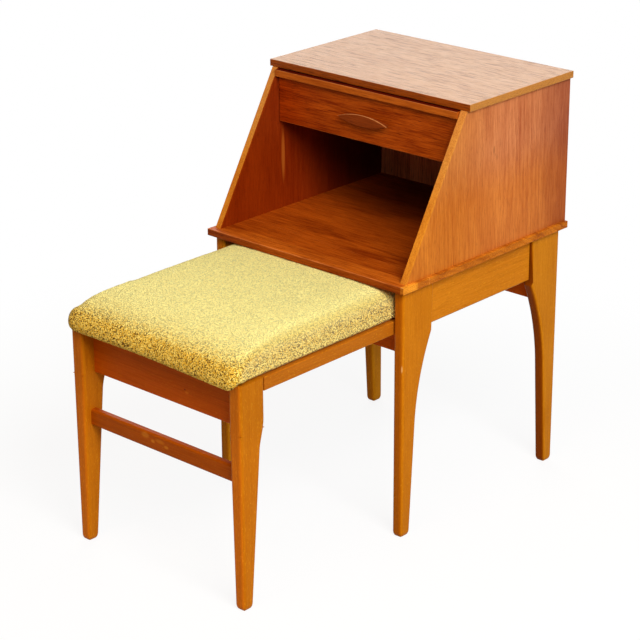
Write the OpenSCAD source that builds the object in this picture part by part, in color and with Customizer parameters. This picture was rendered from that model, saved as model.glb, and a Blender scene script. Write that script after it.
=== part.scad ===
// Telephone bench. A small cabinet with a writing slide, a drawer and an open telephone shelf
// stands on four flared legs, and a padded seat on two legs slides in under the shelf.
// It stands on z = 0, its width runs along x, and y runs from the seat to the cabinet's back.
// The seat is modelled pulled out as far as its stops let it go.

/* [Boards] */
// Width of the top board and of the shelf board
board_w = 450; // [430:5:480]
// Thickness of the top board and of the shelf board
board_t = 12.5; // [11:0.5:16]
// Rounding of the boards' edges
board_ease = 1.2; // [0.4:0.1:2.5]
// Height of the top above the floor
top_h = 735; // [715:5:780]
// Depth of the top board
top_d = 286; // [276:2:310]
// Height of the shelf's upper face above the floor
shelf_h = 462; // [458:1:474]
// Depth of the shelf board
shelf_d = 451; // [435:1:470]

/* [Side panels and back] */
// Thickness of a side panel
panel_t = 13; // [11:0.5:16]
// How far a side panel stands in from the boards' ends
panel_in = 6.5; // [3:0.5:10]
// How far the foot of the slanted edge lies behind the shelf's front
panel_foot_in = 13.6; // [5:0.2:30]
// How far the head of the slanted edge lies in front of the top board's edge
panel_head_out = 0.6; // [0:0.1:3]
// Rounding of the slanted edge
panel_ease = 1; // [0.4:0.1:2.5]
// Thickness of the back panel
back_t = 4; // [3:0.5:6]
// How far the back panel laps into each side panel
back_lap = 5.5; // [4:0.5:8]
// How far the back panel lies in from the panels' back edges
back_in = 1; // [1:0.1:2]

/* [Writing slide] */
// Thickness of the writing slide
slide_t = 12.5; // [11:0.5:14]
// Gap between the slide and the top board
slide_top_gap = 1.5; // [0.8:0.1:3]
// Gap between the slide and each side panel
slide_side_gap = 0.8; // [0.5:0.1:1.5]
// How far the slide stands in front of the top board's edge
slide_out = 9; // [6:0.5:12]
// Depth of the solid lipping along the slide's front
lipping_d = 15; // [10:1:22]
// Space between the pushed-in slide and the back panel
slide_back_gap = 6; // [3:0.5:12]
// Height of the rail and guides that carry the slide
guide_h = 9; // [8:0.5:12]
// Width of a side guide
guide_w = 8; // [6:0.5:12]
// Depth of the rail under the slide's front
slide_rail_d = 40; // [30:1:60]
// Diameter of a stop peg
peg_dia = 8; // [6:0.5:10]
// How far a stop peg hangs below the slide
peg_drop = 7; // [5:0.5:8]
// How far a stop peg lies in front of the slide's back edge
peg_in = 12; // [8:1:20]
// Distance of each stop peg from the middle
peg_x = 120; // [60:5:160]

/* [Drawer] */
// How far the drawer front lies behind the top board's edge
drawer_in = 1; // [0.5:0.5:4]
// Gap between the drawer and each side panel
drawer_gap = 1; // [0.6:0.1:1.6]
// Gap between the drawer front and the writing slide
drawer_top_gap = 1.5; // [1:0.1:3]
// Height of the drawer front
drawer_front_h = 81.5; // [78:0.5:95]
// Thickness of the drawer front
drawer_front_t = 18; // [16:0.5:22]
// Space between the pushed-in drawer and the back panel
drawer_back_gap = 26; // [8:1:60]
// Height of a drawer side
drawer_side_h = 68; // [60:1:70]
// Thickness of a drawer side
drawer_side_t = 11; // [10:0.5:12]
// Thickness of the drawer back
drawer_back_t = 10; // [8:0.5:12]
// Thickness of the drawer bottom
drawer_floor_t = 4; // [3:0.5:5]
// Height of the drawer bottom above the lower edge of a side
drawer_floor_up = 4; // [3:0.5:8]
// How far the runners start behind the drawer front
carrier_in = 3; // [1:0.5:6]
// Height of a drawer runner
drawer_run_h = 12; // [8:0.5:14]
// Thickness of a drawer runner
drawer_run_t = 6; // [5:0.25:7]
// Height of a drawer runner above the lower edge of a side
drawer_run_up = 30; // [22:1:34]

/* [Drawer pull] */
// Length of the pull
pull_l = 112; // [80:2:140]
// Height of the pull
pull_h = 21; // [16:0.5:28]
// How far the pull stands out from the drawer front
pull_out = 13; // [10:0.5:18]
// Distance of each pull screw from the middle
pull_screw_x = 24; // [12:1:32]

/* [Cabinet legs and rails] */
// How far a leg stands in from the shelf's end
leg_in_side = 9; // [8:0.5:14]
// How far a front leg stands in from the shelf's front
leg_in_front = 10; // [6:1:20]
// How far a back leg stands in from the shelf's back
leg_in_back = 10.5; // [6:0.5:20]
// Thickness of a leg
leg_t = 20.5; // [18:0.5:24]
// Depth of a leg beside the apron
leg_top_d = 81; // [70:1:90]
// Depth that the straight taper would reach at the shoulder
leg_root_d = 48; // [40:1:54]
// Depth of a leg at the floor
leg_foot_d = 25; // [20:0.5:30]
// Length of a leg's flare, from its shoulder down
flare_l = 166; // [130:2:210]
// Rounding of a leg's edges
leg_ease = 5; // [2:0.5:6]
// Rounding round the sole of a foot
foot_round = 3; // [2:0.5:5]
// Height of an apron
apron_h = 77.5; // [70:0.5:80]
// Thickness of an apron
apron_t = 16; // [14:0.5:16]
// How far an apron lies behind the outer face of a leg
apron_in = 5.5; // [2:0.5:7]
// How far the leg's shoulder lies below the apron
shoulder_drop = 6; // [2:0.5:12]
// Thickness of a cross rail
rail_t = 18; // [16:0.5:22]
// Height of a cross rail
rail_h = 44; // [38:1:54]
// How far a cross rail lies in from the leg's front or back
rail_in = 32; // [26:1:36]
// Rounding of the rails' and aprons' edges
rail_ease = 1.5; // [0.5:0.1:3]
// Height of a seat runner
seat_run_h = 11.5; // [10:0.5:14]
// Width of a seat runner
seat_run_w = 16; // [12:0.5:20]
// How far a seat runner lies in from the legs' inner faces
seat_run_in = 9.5; // [6:0.5:12]

/* [Seat frame] */
// Length of the seat's frame
seat_l = 451; // [430:1:460]
// Gap between a seat leg and the cabinet leg that it passes
seat_gap = 1.2; // [1:0.1:3]
// Gap between the seat's rails and the runners below them
run_gap = 0.3; // [0.2:0.05:0.5]
// Thickness of a seat leg at its top
seat_leg_t = 26.5; // [23:0.5:29]
// Thickness of a seat leg at the floor
seat_foot_t = 21; // [18:0.5:23]
// Depth of a seat leg at its top
seat_leg_d = 55; // [51:0.5:62]
// Depth of a seat leg at the knee without its swell
seat_root_d = 49.5; // [40:0.5:50.5]
// Depth of a seat leg at the floor
seat_foot_d = 22.5; // [18:0.5:28]
// How far the knee, above which a seat leg is full, lies above the apron's lower edge
knee_up = 17; // [2:1:32]
// Height over which the knee swells
knee_l = 53; // [35:1:80]
// Rounding of a seat leg's edges
seat_leg_ease = 6; // [2:0.5:7]
// Height of the seat's apron
seat_apron_h = 83.5; // [76:0.5:90]
// Thickness of the seat's apron
seat_apron_t = 18; // [16:0.5:20]
// How far the seat's apron lies behind the front of the legs
seat_apron_in = 25; // [18:0.5:27]
// Gap between the stretcher and the apron above it
stretcher_drop = 64; // [44:1:96]
// Height of the stretcher
stretcher_h = 29.5; // [24:0.5:40]
// Thickness of the stretcher
stretcher_t = 14; // [12:0.5:18]
// How far the stretcher lies behind the front of the legs
stretcher_in = 13.5; // [8:0.5:15]
// Rounding of the stretcher's edges
stretcher_ease = 4; // [2:0.5:6]
// Height of a side rail
seat_rail_h = 23; // [22:0.5:30]
// Thickness of a side rail
seat_rail_t = 20; // [18:0.5:22]
// How far a side rail lies behind the outer face of a seat leg
seat_rail_in = 0.5; // [0.5:0.5:3]
// Thickness of the rear rail
seat_rear_t = 20; // [18:0.5:24]
// Depth of a stop block behind the front cross rail
stop_l = 19.5; // [14:0.5:22]
// Width of a stop block
stop_w = 28; // [20:1:40]
// Distance of each stop block from the middle
stop_x = 60; // [20:5:80]
// How far a stop block reaches down behind the cross rail
stop_down = 26; // [22:1:34]
// How far a stop block stands up above the cross rail
stop_up = 13; // [8:0.5:16]
// Gap between the stop blocks and the pulled-out seat's rear rail
stop_gap = 0.5; // [0.3:0.1:1.5]
// Thickness of the board under the cushion
seat_board_t = 9; // [7:0.5:12]
// How far that board lies in from the frame's sides and front
seat_board_in = 12; // [10:0.5:16]
// How far that board lies in from the frame's back
seat_board_back_in = 7; // [6:0.5:9]
// Length of a corner block along the rails
corner_l = 36; // [26:1:50]
// Height of a corner block
corner_h = 21; // [16:1:22]

/* [Cushion] */
// How far the cushion's sides lie in from the seat legs' outer faces
cushion_in = 0.5; // [0.5:0.5:6]
// How far the cushion's front corners bulge beyond its sides
cushion_corner_out = 1.5; // [0:0.5:1.5]
// How far the cushion's front stands out from the seat legs
cushion_out = 10.5; // [9:0.5:16]
// How far the cushion's front hangs below the top of the frame
cushion_hang = 8.5; // [6:0.5:14]
// How far the cushion's back lies in from the back of the frame
cushion_back_in = 1; // [0:0.5:2]
// Height of the cushion's crown above the seat's frame
cushion_h = 55.5; // [48:0.5:60]
// Gap between the cushion's crown and the shelf
cushion_gap = 2.5; // [2:0.1:6]
// Corner radius of the cushion in plan
cushion_r = 26; // [16:1:34]

/* [Joints and fasteners] */
// Diameter of the dowels in the frames
dowel_dia = 8; // [6:0.5:9]
// How far a frame dowel reaches into the side of a leg
dowel_side = 14; // [10:0.5:15]
// How far a frame dowel reaches into a rail's end
dowel_end = 20; // [14:0.5:24]
// Diameter of the dowels in the panels and the drawer
thin_dowel_dia = 6; // [5:0.5:7]
// How far a thin dowel reaches into a board
thin_dowel_face = 9; // [6:0.5:9]
// How far a thin dowel reaches into an edge
thin_dowel_edge = 16; // [12:0.5:20]
// Diameter of a screw's shank
screw_dia = 4; // [3:0.25:4.5]
// Diameter of a screw's head
screw_head_dia = 8; // [7:0.25:9]
// Height of a screw's head
screw_head_h = 3; // [2:0.25:4]
// Diameter of a panel pin's shank
pin_dia = 1.4; // [1:0.1:2]
// Diameter of a panel pin's head
pin_head_dia = 3.2; // [2.4:0.1:4]
// Length of a panel pin
pin_l = 16; // [12:0.5:20]
// Clearance round dowels, screws and pins, and in grooves
fit = 0.1; // [0.05:0.01:0.2]
// Running clearance of the drawer and the slide on what carries them
slip = 0.5; // [0.3:0.05:0.6]

/* [Hidden] */

teak = "#b5622d";
teak_dark = "#8f4319";
golden = "#c98a2e";
beech = "#c9a36a";
plywood = "#cfae78";
hardboard = "#7a4a26";
steel = "#a9a9a4";
boucle_yellow = "#dcbd55";

// One overrun serves every cut
over = 1;
// Room at the end of each dowel, screw and pin
end_room = 1;
quarter = 90;
$fn = 32;
// Steps of a rounded edge
ease_steps = 3;

// Heights
top_under = top_h - board_t;
shelf_under = shelf_h - board_t;
slide_top = top_under - slide_top_gap;
slide_bottom = slide_top - slide_t;
guide_top = slide_bottom - slip;
guide_bottom = guide_top - guide_h;
drawer_top = slide_bottom - drawer_top_gap;
drawer_bottom_edge = drawer_top - drawer_front_h;
side_top = guide_bottom - slip;
side_bottom = side_top - drawer_side_h;
drawer_floor = side_bottom + drawer_floor_up;
drawer_run_bottom = side_bottom + drawer_run_up;
apron_bottom = shelf_under - apron_h;
shoulder_h = apron_bottom - shoulder_drop;
flare_start_h = shoulder_h - flare_l;
crown_h = shelf_under - cushion_gap;
seat_h = crown_h - cushion_h;
seat_rail_bottom = seat_h - seat_rail_h;
run_top = seat_rail_bottom - run_gap;
run_bottom = run_top - seat_run_h;
rail_bottom = run_top - rail_h;
stop_bottom = run_top - stop_down;
seat_apron_bottom = seat_h - seat_apron_h;
knee_h = seat_apron_bottom + knee_up;
stretcher_up = seat_apron_bottom - stretcher_drop - stretcher_h;

// Half widths, measured from the middle
board_x = board_w / 2;
panel_out_x = board_x - panel_in;
panel_x = panel_out_x - panel_t;
slide_x = panel_x - slide_side_gap;
drawer_x = panel_x - drawer_gap;
drawer_in_x = drawer_x - drawer_side_t;
drawer_run_x = panel_x - drawer_run_t;
leg_out_x = board_x - leg_in_side;
leg_x = leg_out_x - leg_t;
apron_out_x = leg_out_x - apron_in;
apron_x = apron_out_x - apron_t;
seat_run_out_x = leg_x - seat_run_in;
seat_run_x = seat_run_out_x - seat_run_w;
seat_out_x = leg_x - seat_gap;
seat_leg_x = seat_out_x - seat_leg_t;
seat_rail_out_x = seat_out_x - seat_rail_in;
seat_rail_x = seat_rail_out_x - seat_rail_t;
seat_board_x = seat_out_x - seat_board_in;
cushion_x = seat_out_x - cushion_in;

// Depths to which the bottom and the back of the drawer are let into its sides
floor_lap = drawer_side_t / 3;
back_let = drawer_side_t / 4;

// Depths. The origin lies midway between the cushion's front and the boards' back edges.
seat_back_in = leg_in_front + rail_in + rail_t + stop_gap + stop_l + seat_rear_t;
seat_reach = seat_l + cushion_out - seat_back_in;
back_y = (shelf_d + seat_reach) / 2;
shelf_y = back_y - shelf_d;
top_y = back_y - top_d;
panel_foot_y = shelf_y + panel_foot_in;
panel_head_y = top_y - panel_head_out;
back_face_y = back_y - back_in;
back_panel_y = back_face_y - back_t;
slide_y = top_y - slide_out;
slide_back_y = back_panel_y - slide_back_gap;
peg_y = slide_back_y - peg_in;
drawer_y = top_y + drawer_in;
drawer_back_face_y = drawer_y + drawer_front_t;
drawer_end_y = back_panel_y - drawer_back_gap;
drawer_back_y = drawer_end_y - 2 * drawer_back_t;
carrier_y = drawer_back_face_y + carrier_in;
slide_rail_end_y = carrier_y + slide_rail_d;
leg_front_y = shelf_y + leg_in_front;
leg_back_y = back_y - leg_in_back;
apron_front_y = leg_front_y + leg_top_d;
apron_back_y = leg_back_y - leg_top_d;
rail_y = leg_front_y + rail_in;
rail_back_y = rail_y + rail_t;
back_rail_y = leg_back_y - rail_in - rail_t;
seat_back_y = shelf_y + seat_back_in;
seat_y = seat_back_y - seat_l;
seat_rail_y = seat_y + seat_leg_d;
seat_rear_y = seat_back_y - seat_rear_t;
seat_apron_y = seat_y + seat_apron_in;
corner_y = seat_apron_y + seat_apron_t;
stretcher_y = seat_y + stretcher_in;
seat_board_y = seat_y + seat_board_in;
seat_board_end_y = seat_back_y - seat_board_back_in;
cushion_y = seat_y - cushion_out;
cushion_end_y = seat_back_y - cushion_back_in;

// The stretcher's tenons: their length, and how far they lie in from its faces
tenon_l = seat_foot_t / 2;
tenon_in = stretcher_t / 5;

// Shares of the lengths that they follow
dowel_shares = [0.26, 0.74];
rail_dowel_shares = [0.2, 0.52];
apron_dowel_shares = [0.26, 0.74];
panel_dowel_shares = [0.1, 0.5, 0.9];
screw_shares = [0.12, 0.5, 0.88];
pin_shares = [0.06, 0.35, 0.65, 0.94];
shelf_screw_share = 0.62;
rear_screw_share = 0.35;
tip_share = 0.75;
mid_share = 0.5;
flare_power = 2.1;

function share(s, a, b) = a + s * (b - a);
function arc(x, y, r, start) =
    [for (i = [0:ease_steps]) let (t = start + quarter * i / ease_steps) [x + r * cos(t), y + r * sin(t)]];
function round_rect(x0, y0, x1, y1, r) = concat(
    arc(x1 - r, y1 - r, r, 0), arc(x0 + r, y1 - r, r, quarter),
    arc(x0 + r, y0 + r, r, 2 * quarter), arc(x1 - r, y0 + r, r, 3 * quarter));

// Bars with rounded long edges, from low corner a to high corner b
module bar_x(a, b, r) {
    translate([a[0], 0, 0]) rotate([quarter, 0, quarter])
        linear_extrude(b[0] - a[0]) polygon(round_rect(a[1], a[2], b[1], b[2], r));
}
module bar_y(a, b, r) {
    translate([0, b[1], 0]) rotate([quarter, 0, 0])
        linear_extrude(b[1] - a[1]) polygon(round_rect(a[0], a[2], b[0], b[2], r));
}
module bar_z(a, b, r) {
    translate([0, 0, a[2]]) linear_extrude(b[2] - a[2]) polygon(round_rect(a[0], a[1], b[0], b[1], r));
}
module block(a, b) {
    translate(a) cube(b - a);
}
module eased_board(a, b, r) {
    intersection() {
        bar_x(a, b, r);
        bar_y(a, b, r);
        bar_z(a, b, r);
    }
}

// Round rods between two places on one axis, used for dowels, screws, pins and their holes
module rod_x(x0, x1, y, z, r) {
    translate([x0, y, z]) rotate([0, quarter, 0]) cylinder(h = x1 - x0, r = r);
}
module rod_y(x, y0, y1, z, r) {
    translate([x, y1, z]) rotate([quarter, 0, 0]) cylinder(h = y1 - y0, r = r);
}
module rod_z(x, y, z0, z1, r) {
    translate([x, y, z0]) cylinder(h = z1 - z0, r = r);
}
module both_sides() {
    children();
    mirror([1, 0, 0]) children();
}
module left() {
    mirror([1, 0, 0]) children();
}

// A closed skin over rings of points, each ring going anticlockwise as seen from above.
// Both ends are closed by fans round a middle point.
module loft(rings, low, high) {
    n = len(rings[0]);
    m = len(rings);
    last = n * m;
    polyhedron(
        points = concat([for (ring = rings) each ring], [low, high]),
        faces = concat(
            [for (i = [0:n - 1]) [i, (i + 1) % n, last]],
            [for (k = [0:m - 2], i = [0:n - 1]) [k * n + i, (k + 1) * n + i, (k + 1) * n + (i + 1) % n]],
            [for (k = [0:m - 2], i = [0:n - 1]) [k * n + i, (k + 1) * n + (i + 1) % n, k * n + (i + 1) % n]],
            [for (i = [0:n - 1]) [(m - 1) * n + (i + 1) % n, (m - 1) * n + i, last + 1]]));
}

// Boards, side panels and back
module panel_dowel_set(grow, room) {
    r = thin_dowel_dia / 2 + grow;
    x = (panel_x + panel_out_x) / 2;
    for (s = panel_dowel_shares) {
        rod_z(x, share(s, panel_foot_y, back_panel_y), shelf_h - thin_dowel_face - room,
            shelf_h + thin_dowel_edge + room, r);
        rod_z(x, share(s, panel_head_y, back_panel_y), top_under - thin_dowel_edge - room,
            top_under + thin_dowel_face + room, r);
    }
    rod_x(panel_x - thin_dowel_edge - room, panel_x + thin_dowel_face + room,
        (carrier_y + slide_rail_end_y) / 2, (guide_bottom + guide_top) / 2, r);
}
module panel_dowels() {
    color(beech) both_sides() panel_dowel_set(0, 0);
}
module top_board() {
    color(teak) difference() {
        eased_board([-board_x, top_y, top_under], [board_x, back_y, top_h], board_ease);
        both_sides() panel_dowel_set(fit, fit);
    }
}
module shelf_board() {
    color(teak) difference() {
        eased_board([-board_x, shelf_y, shelf_under], [board_x, back_y, shelf_h], board_ease);
        both_sides() panel_dowel_set(fit, fit);
        both_sides() shelf_screw_set(fit, fit);
    }
}
module side_panel() {
    run = back_y - panel_foot_y;
    rise = top_under - shelf_h;
    lean = atan2(panel_head_y - panel_foot_y, rise);
    color(teak) difference() {
        intersection() {
            translate([0, panel_foot_y, shelf_h]) rotate([-lean, 0, 0])
                bar_z([panel_x, 0, -over], [panel_out_x, run, run + rise], panel_ease);
            block([panel_x - over, panel_foot_y - over, shelf_h], [panel_out_x + over, back_y, top_under]);
        }
        block([panel_x - over, back_panel_y - fit, shelf_h - over],
            [panel_x + back_lap + fit, back_y + over, top_under + over]);
        panel_dowel_set(fit, end_room);
        pin_set(fit, end_room);
        drawer_screw_set(fit, end_room);
    }
}
module side_panel_right() {
    side_panel();
}
module side_panel_left() {
    left() side_panel();
}
module pin_set(grow, room) {
    for (s = pin_shares) {
        z = share(s, shelf_h, top_under);
        x = panel_x + back_lap / 2;
        rod_y(x, back_face_y - pin_l - room, back_face_y + fit, z, pin_dia / 2 + grow);
    }
}
module back_pins() {
    color(steel) both_sides() union() {
        pin_set(0, 0);
        for (s = pin_shares)
            rod_y(panel_x + back_lap / 2, back_face_y + fit, back_y - fit, share(s, shelf_h, top_under),
                pin_head_dia / 2);
    }
}
module back_panel() {
    color(hardboard) difference() {
        block([-panel_x - back_lap, back_panel_y, shelf_h], [panel_x + back_lap, back_face_y, top_under]);
        both_sides() pin_set(fit, end_room);
    }
}

// What carries the writing slide and the drawer
module slide_rail() {
    color(beech) difference() {
        block([-panel_x, carrier_y, guide_bottom], [panel_x, slide_rail_end_y, guide_top]);
        both_sides() panel_dowel_set(fit, end_room);
    }
}
module slide_guide() {
    color(beech)
        block([panel_x - guide_w, slide_rail_end_y, guide_bottom], [panel_x, back_panel_y, guide_top]);
}
module slide_guide_right() {
    slide_guide();
}
module slide_guide_left() {
    left() slide_guide();
}
module drawer_screw_set(grow, room) {
    z = drawer_run_bottom + drawer_run_h / 2;
    for (s = screw_shares) {
        y = share(s, carrier_y, slide_back_y);
        rod_x(drawer_run_x + screw_head_h - fit, panel_x + panel_t * mid_share + room, y, z,
            screw_dia / 2 + grow);
        rod_x(drawer_run_x + fit - grow - over * sign(grow), drawer_run_x + screw_head_h, y, z,
            screw_head_dia / 2 + grow);
    }
}
module drawer_runner() {
    color(beech) difference() {
        bar_y([drawer_run_x, carrier_y, drawer_run_bottom],
            [panel_x, slide_back_y, drawer_run_bottom + drawer_run_h], slip);
        drawer_screw_set(fit, 0);
    }
}
module drawer_runner_right() {
    drawer_runner();
}
module drawer_runner_left() {
    left() drawer_runner();
}

// Legs, aprons and cross rails of the cabinet
function flare(z) = z <= flare_start_h ? 0 : pow(min(1, (z - flare_start_h) / flare_l), flare_power);
function leg_depth(z) =
    z >= shoulder_h ? leg_top_d :
    leg_foot_d + (leg_root_d - leg_foot_d) * z / shoulder_h + (leg_top_d - leg_root_d) * flare(z);
// Heights and insets round the sole, then the heights of the rings above it
foot_rings = [for (i = [0:ease_steps]) let (t = quarter * i / ease_steps)
    [foot_round * (1 - cos(t)), foot_round * (1 - sin(t))]];
flare_steps = 10;
leg_rings = concat(foot_rings,
    [for (i = [0:flare_steps]) [share(i / flare_steps, flare_start_h, shoulder_h), 0]], [[shelf_under, 0]]);

function ring(x0, y0, x1, y1, r, z, inset) =
    [for (p = round_rect(x0 + inset, y0 + inset, x1 - inset, y1 - inset, r)) [p[0], p[1], z]];

module cabinet_leg(front) {
    y_mid = front ? leg_front_y + leg_foot_d / 2 : leg_back_y - leg_foot_d / 2;
    x_mid = (leg_x + leg_out_x) / 2;
    color(golden) difference() {
        loft([for (k = leg_rings) let (d = leg_depth(k[0]))
                ring(leg_x, front ? leg_front_y : leg_back_y - d, leg_out_x,
                    front ? leg_front_y + d : leg_back_y, leg_ease, k[0], k[1])],
            [x_mid, y_mid, 0], [x_mid, y_mid, shelf_under]);
        apron_dowel_set(fit, end_room);
        rail_dowel_set(fit, end_room);
    }
}
module leg_front_right() {
    cabinet_leg(true);
}
module leg_front_left() {
    left() cabinet_leg(true);
}
module leg_back_right() {
    cabinet_leg(false);
}
module leg_back_left() {
    left() cabinet_leg(false);
}
module apron_dowel_set(grow, room) {
    x = (apron_x + apron_out_x) / 2;
    for (s = apron_dowel_shares, y = [apron_front_y, apron_back_y])
        rod_y(x, y - dowel_end - room, y + dowel_end + room, share(s, apron_bottom, shelf_under),
            dowel_dia / 2 + grow);
}
module rail_dowel_set(grow, room) {
    for (s = rail_dowel_shares, y = [rail_y, back_rail_y])
        rod_x(leg_x - dowel_end - room, leg_x + dowel_side + room, y + rail_t / 2,
            share(s, rail_bottom, run_top), dowel_dia / 2 + grow);
}
module runner_dowel_set(grow, room) {
    x = (seat_run_x + seat_run_out_x) / 2;
    z = (run_bottom + run_top) / 2;
    rod_y(x, rail_back_y - thin_dowel_face - room, rail_back_y + thin_dowel_edge + room, z,
        thin_dowel_dia / 2 + grow);
    rod_y(x, back_rail_y - thin_dowel_edge - room, back_rail_y + thin_dowel_face + room, z,
        thin_dowel_dia / 2 + grow);
}
module frame_dowels() {
    color(beech) both_sides() union() {
        apron_dowel_set(0, 0);
        rail_dowel_set(0, 0);
        runner_dowel_set(0, 0);
    }
}
module shelf_screw_set(grow, room) {
    head_z = share(shelf_screw_share, apron_bottom, shelf_under);
    tip_z = shelf_under + thin_dowel_face;
    for (s = screw_shares) {
        y = share(s, apron_front_y + dowel_end, apron_back_y - dowel_end);
        x = (apron_x + apron_out_x) / 2;
        rod_z(x, y, head_z + screw_head_h - fit, tip_z + room, screw_dia / 2 + grow);
        rod_z(x, y, grow > 0 ? apron_bottom - over : head_z, head_z + screw_head_h,
            screw_head_dia / 2 + grow);
    }
}
module shelf_screws() {
    color(steel) both_sides() shelf_screw_set(0, 0);
}
module apron() {
    color(golden) difference() {
        bar_y([apron_x, apron_front_y, apron_bottom], [apron_out_x, apron_back_y, shelf_under], rail_ease);
        apron_dowel_set(fit, end_room);
        shelf_screw_set(fit, fit);
    }
}
module apron_right() {
    apron();
}
module apron_left() {
    left() apron();
}
module cross_rail_front() {
    color(golden) difference() {
        bar_x([-leg_x, rail_y, rail_bottom], [leg_x, rail_back_y, run_top], rail_ease);
        both_sides() rail_dowel_set(fit, end_room);
        both_sides() runner_dowel_set(fit, end_room);
        both_sides() stop_screw_set(fit, end_room);
    }
}
module cross_rail_back() {
    color(golden) difference() {
        bar_x([-leg_x, back_rail_y, rail_bottom], [leg_x, back_rail_y + rail_t, run_top], rail_ease);
        both_sides() rail_dowel_set(fit, end_room);
        both_sides() runner_dowel_set(fit, end_room);
    }
}

// Seat runners, dowelled between the cross rails, and the stop blocks that catch the rear rail
module seat_runner() {
    color(beech) difference() {
        block([seat_run_x, rail_back_y, run_bottom], [seat_run_out_x, back_rail_y, run_top]);
        runner_dowel_set(fit, end_room);
    }
}
module seat_runner_right() {
    seat_runner();
}
module seat_runner_left() {
    left() seat_runner();
}
module stop_screw_set(grow, room) {
    y = rail_back_y + stop_l;
    for (s = dowel_shares) {
        x = stop_x + stop_w / 2;
        z = share(s, stop_bottom, run_top);
        rod_y(x, rail_back_y - thin_dowel_face - room, y - screw_head_h + fit, z, screw_dia / 2 + grow);
        rod_y(x, y - screw_head_h, y - fit + grow + over * sign(grow), z, screw_head_dia / 2 + grow);
    }
}
module seat_stops() {
    color(beech) both_sides() difference() {
        block([stop_x, rail_back_y, stop_bottom], [stop_x + stop_w, rail_back_y + stop_l, run_top + stop_up]);
        stop_screw_set(fit, end_room);
    }
}
module runner_screws() {
    color(steel) both_sides() union() {
        stop_screw_set(0, 0);
        drawer_screw_set(0, 0);
    }
}

// Writing slide
module peg_set(grow, room) {
    rod_z(peg_x, peg_y, slide_bottom - peg_drop, slide_bottom + thin_dowel_face + room, peg_dia / 2 + grow);
}
module slide_pegs() {
    color(beech) both_sides() peg_set(0, 0);
}
module slide_board() {
    color(teak) difference() {
        block([-slide_x, slide_y + lipping_d, slide_bottom], [slide_x, slide_back_y, slide_top]);
        both_sides() peg_set(fit, end_room);
    }
}
module slide_lipping() {
    color(golden)
        bar_x([-slide_x, slide_y, slide_bottom], [slide_x, slide_y + lipping_d, slide_top], board_ease);
}

// Drawer
module drawer_dowel_set(grow, room) {
    x = (drawer_in_x + drawer_x) / 2;
    for (z = [share(mid_share, drawer_floor + drawer_floor_t, drawer_run_bottom),
            share(mid_share, drawer_run_bottom + drawer_run_h, side_top)])
        rod_y(x, drawer_back_face_y - thin_dowel_face - room, drawer_back_face_y + thin_dowel_edge + room, z,
            thin_dowel_dia / 2 + grow);
}
module drawer_dowels() {
    color(beech) both_sides() drawer_dowel_set(0, 0);
}
module pull_screw_set(grow, room) {
    z = (drawer_top + drawer_bottom_edge) / 2;
    y = drawer_back_face_y - screw_head_h;
    rod_y(pull_screw_x, drawer_y - pull_out * mid_share - room, y + fit, z, screw_dia / 2 + grow);
    rod_y(pull_screw_x, y, drawer_back_face_y - fit + grow + over * sign(grow), z,
        screw_head_dia / 2 + grow);
}
module pull_screws() {
    color(steel) both_sides() pull_screw_set(0, 0);
}
module drawer_front() {
    color(teak_dark) difference() {
        eased_board([-drawer_x, drawer_y, drawer_bottom_edge], [drawer_x, drawer_back_face_y, drawer_top],
            board_ease);
        block([-drawer_in_x - floor_lap - fit, drawer_back_face_y - floor_lap - fit, drawer_floor - fit],
            [drawer_in_x + floor_lap + fit, drawer_back_face_y + over, drawer_floor + drawer_floor_t + fit]);
        both_sides() drawer_dowel_set(fit, end_room);
        both_sides() pull_screw_set(fit, end_room);
    }
}
module drawer_side() {
    color(beech) difference() {
        bar_y([drawer_in_x, drawer_back_face_y, side_bottom], [drawer_x, drawer_end_y, side_top], slip);
        block([drawer_run_x - slip, drawer_back_face_y - over, drawer_run_bottom - slip],
            [drawer_x + over, drawer_end_y + over, drawer_run_bottom + drawer_run_h + slip]);
        block([drawer_in_x - over, drawer_back_face_y - over, drawer_floor - fit],
            [drawer_in_x + floor_lap + fit, drawer_end_y + over, drawer_floor + drawer_floor_t + fit]);
        block([drawer_in_x - over, drawer_back_y - fit, drawer_floor + drawer_floor_t - fit],
            [drawer_in_x + back_let + fit, drawer_back_y + drawer_back_t + fit, side_top + over]);
        drawer_dowel_set(fit, end_room);
    }
}
module drawer_side_right() {
    drawer_side();
}
module drawer_side_left() {
    left() drawer_side();
}
module drawer_back() {
    color(beech) block([-drawer_in_x - back_let, drawer_back_y, drawer_floor + drawer_floor_t],
        [drawer_in_x + back_let, drawer_back_y + drawer_back_t, side_top - floor_lap]);
}
module drawer_bottom() {
    color(plywood) block([-drawer_in_x - floor_lap, drawer_back_face_y - floor_lap, drawer_floor],
        [drawer_in_x + floor_lap, drawer_end_y, drawer_floor + drawer_floor_t]);
}

// The pull is lens-shaped, undercut behind for the fingertips.
// Each row gives a share of its length, of its height and of how far it stands out.
pull_shares = [
    [0.88, 0.58, 0], [0.9, 0.6, 0.42], [0.95, 0.8, 0.7],
    [1, 1, 0.87], [0.99, 0.96, 0.96], [0.965, 0.86, 1]];
pull_steps = 12;
function lens(half_l, half_h, y) = let (r = (half_l * half_l + half_h * half_h) / (2 * half_h)) [
    for (s = [1, -1], i = [0:pull_steps - 1]) let (x = s * half_l * cos(2 * quarter * i / pull_steps))
        [x, s * (sqrt(r * r - x * x) - r + half_h), y]];
module drawer_pull() {
    z = (drawer_top + drawer_bottom_edge) / 2;
    color(teak_dark) difference() {
        translate([0, drawer_y, z]) rotate([quarter, 0, 0])
            loft([for (k = pull_shares) lens(k[0] * pull_l / 2, k[1] * pull_h / 2, k[2] * pull_out)],
                [0, 0, 0], [0, 0, pull_out]);
        both_sides() pull_screw_set(fit, fit);
    }
}

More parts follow.
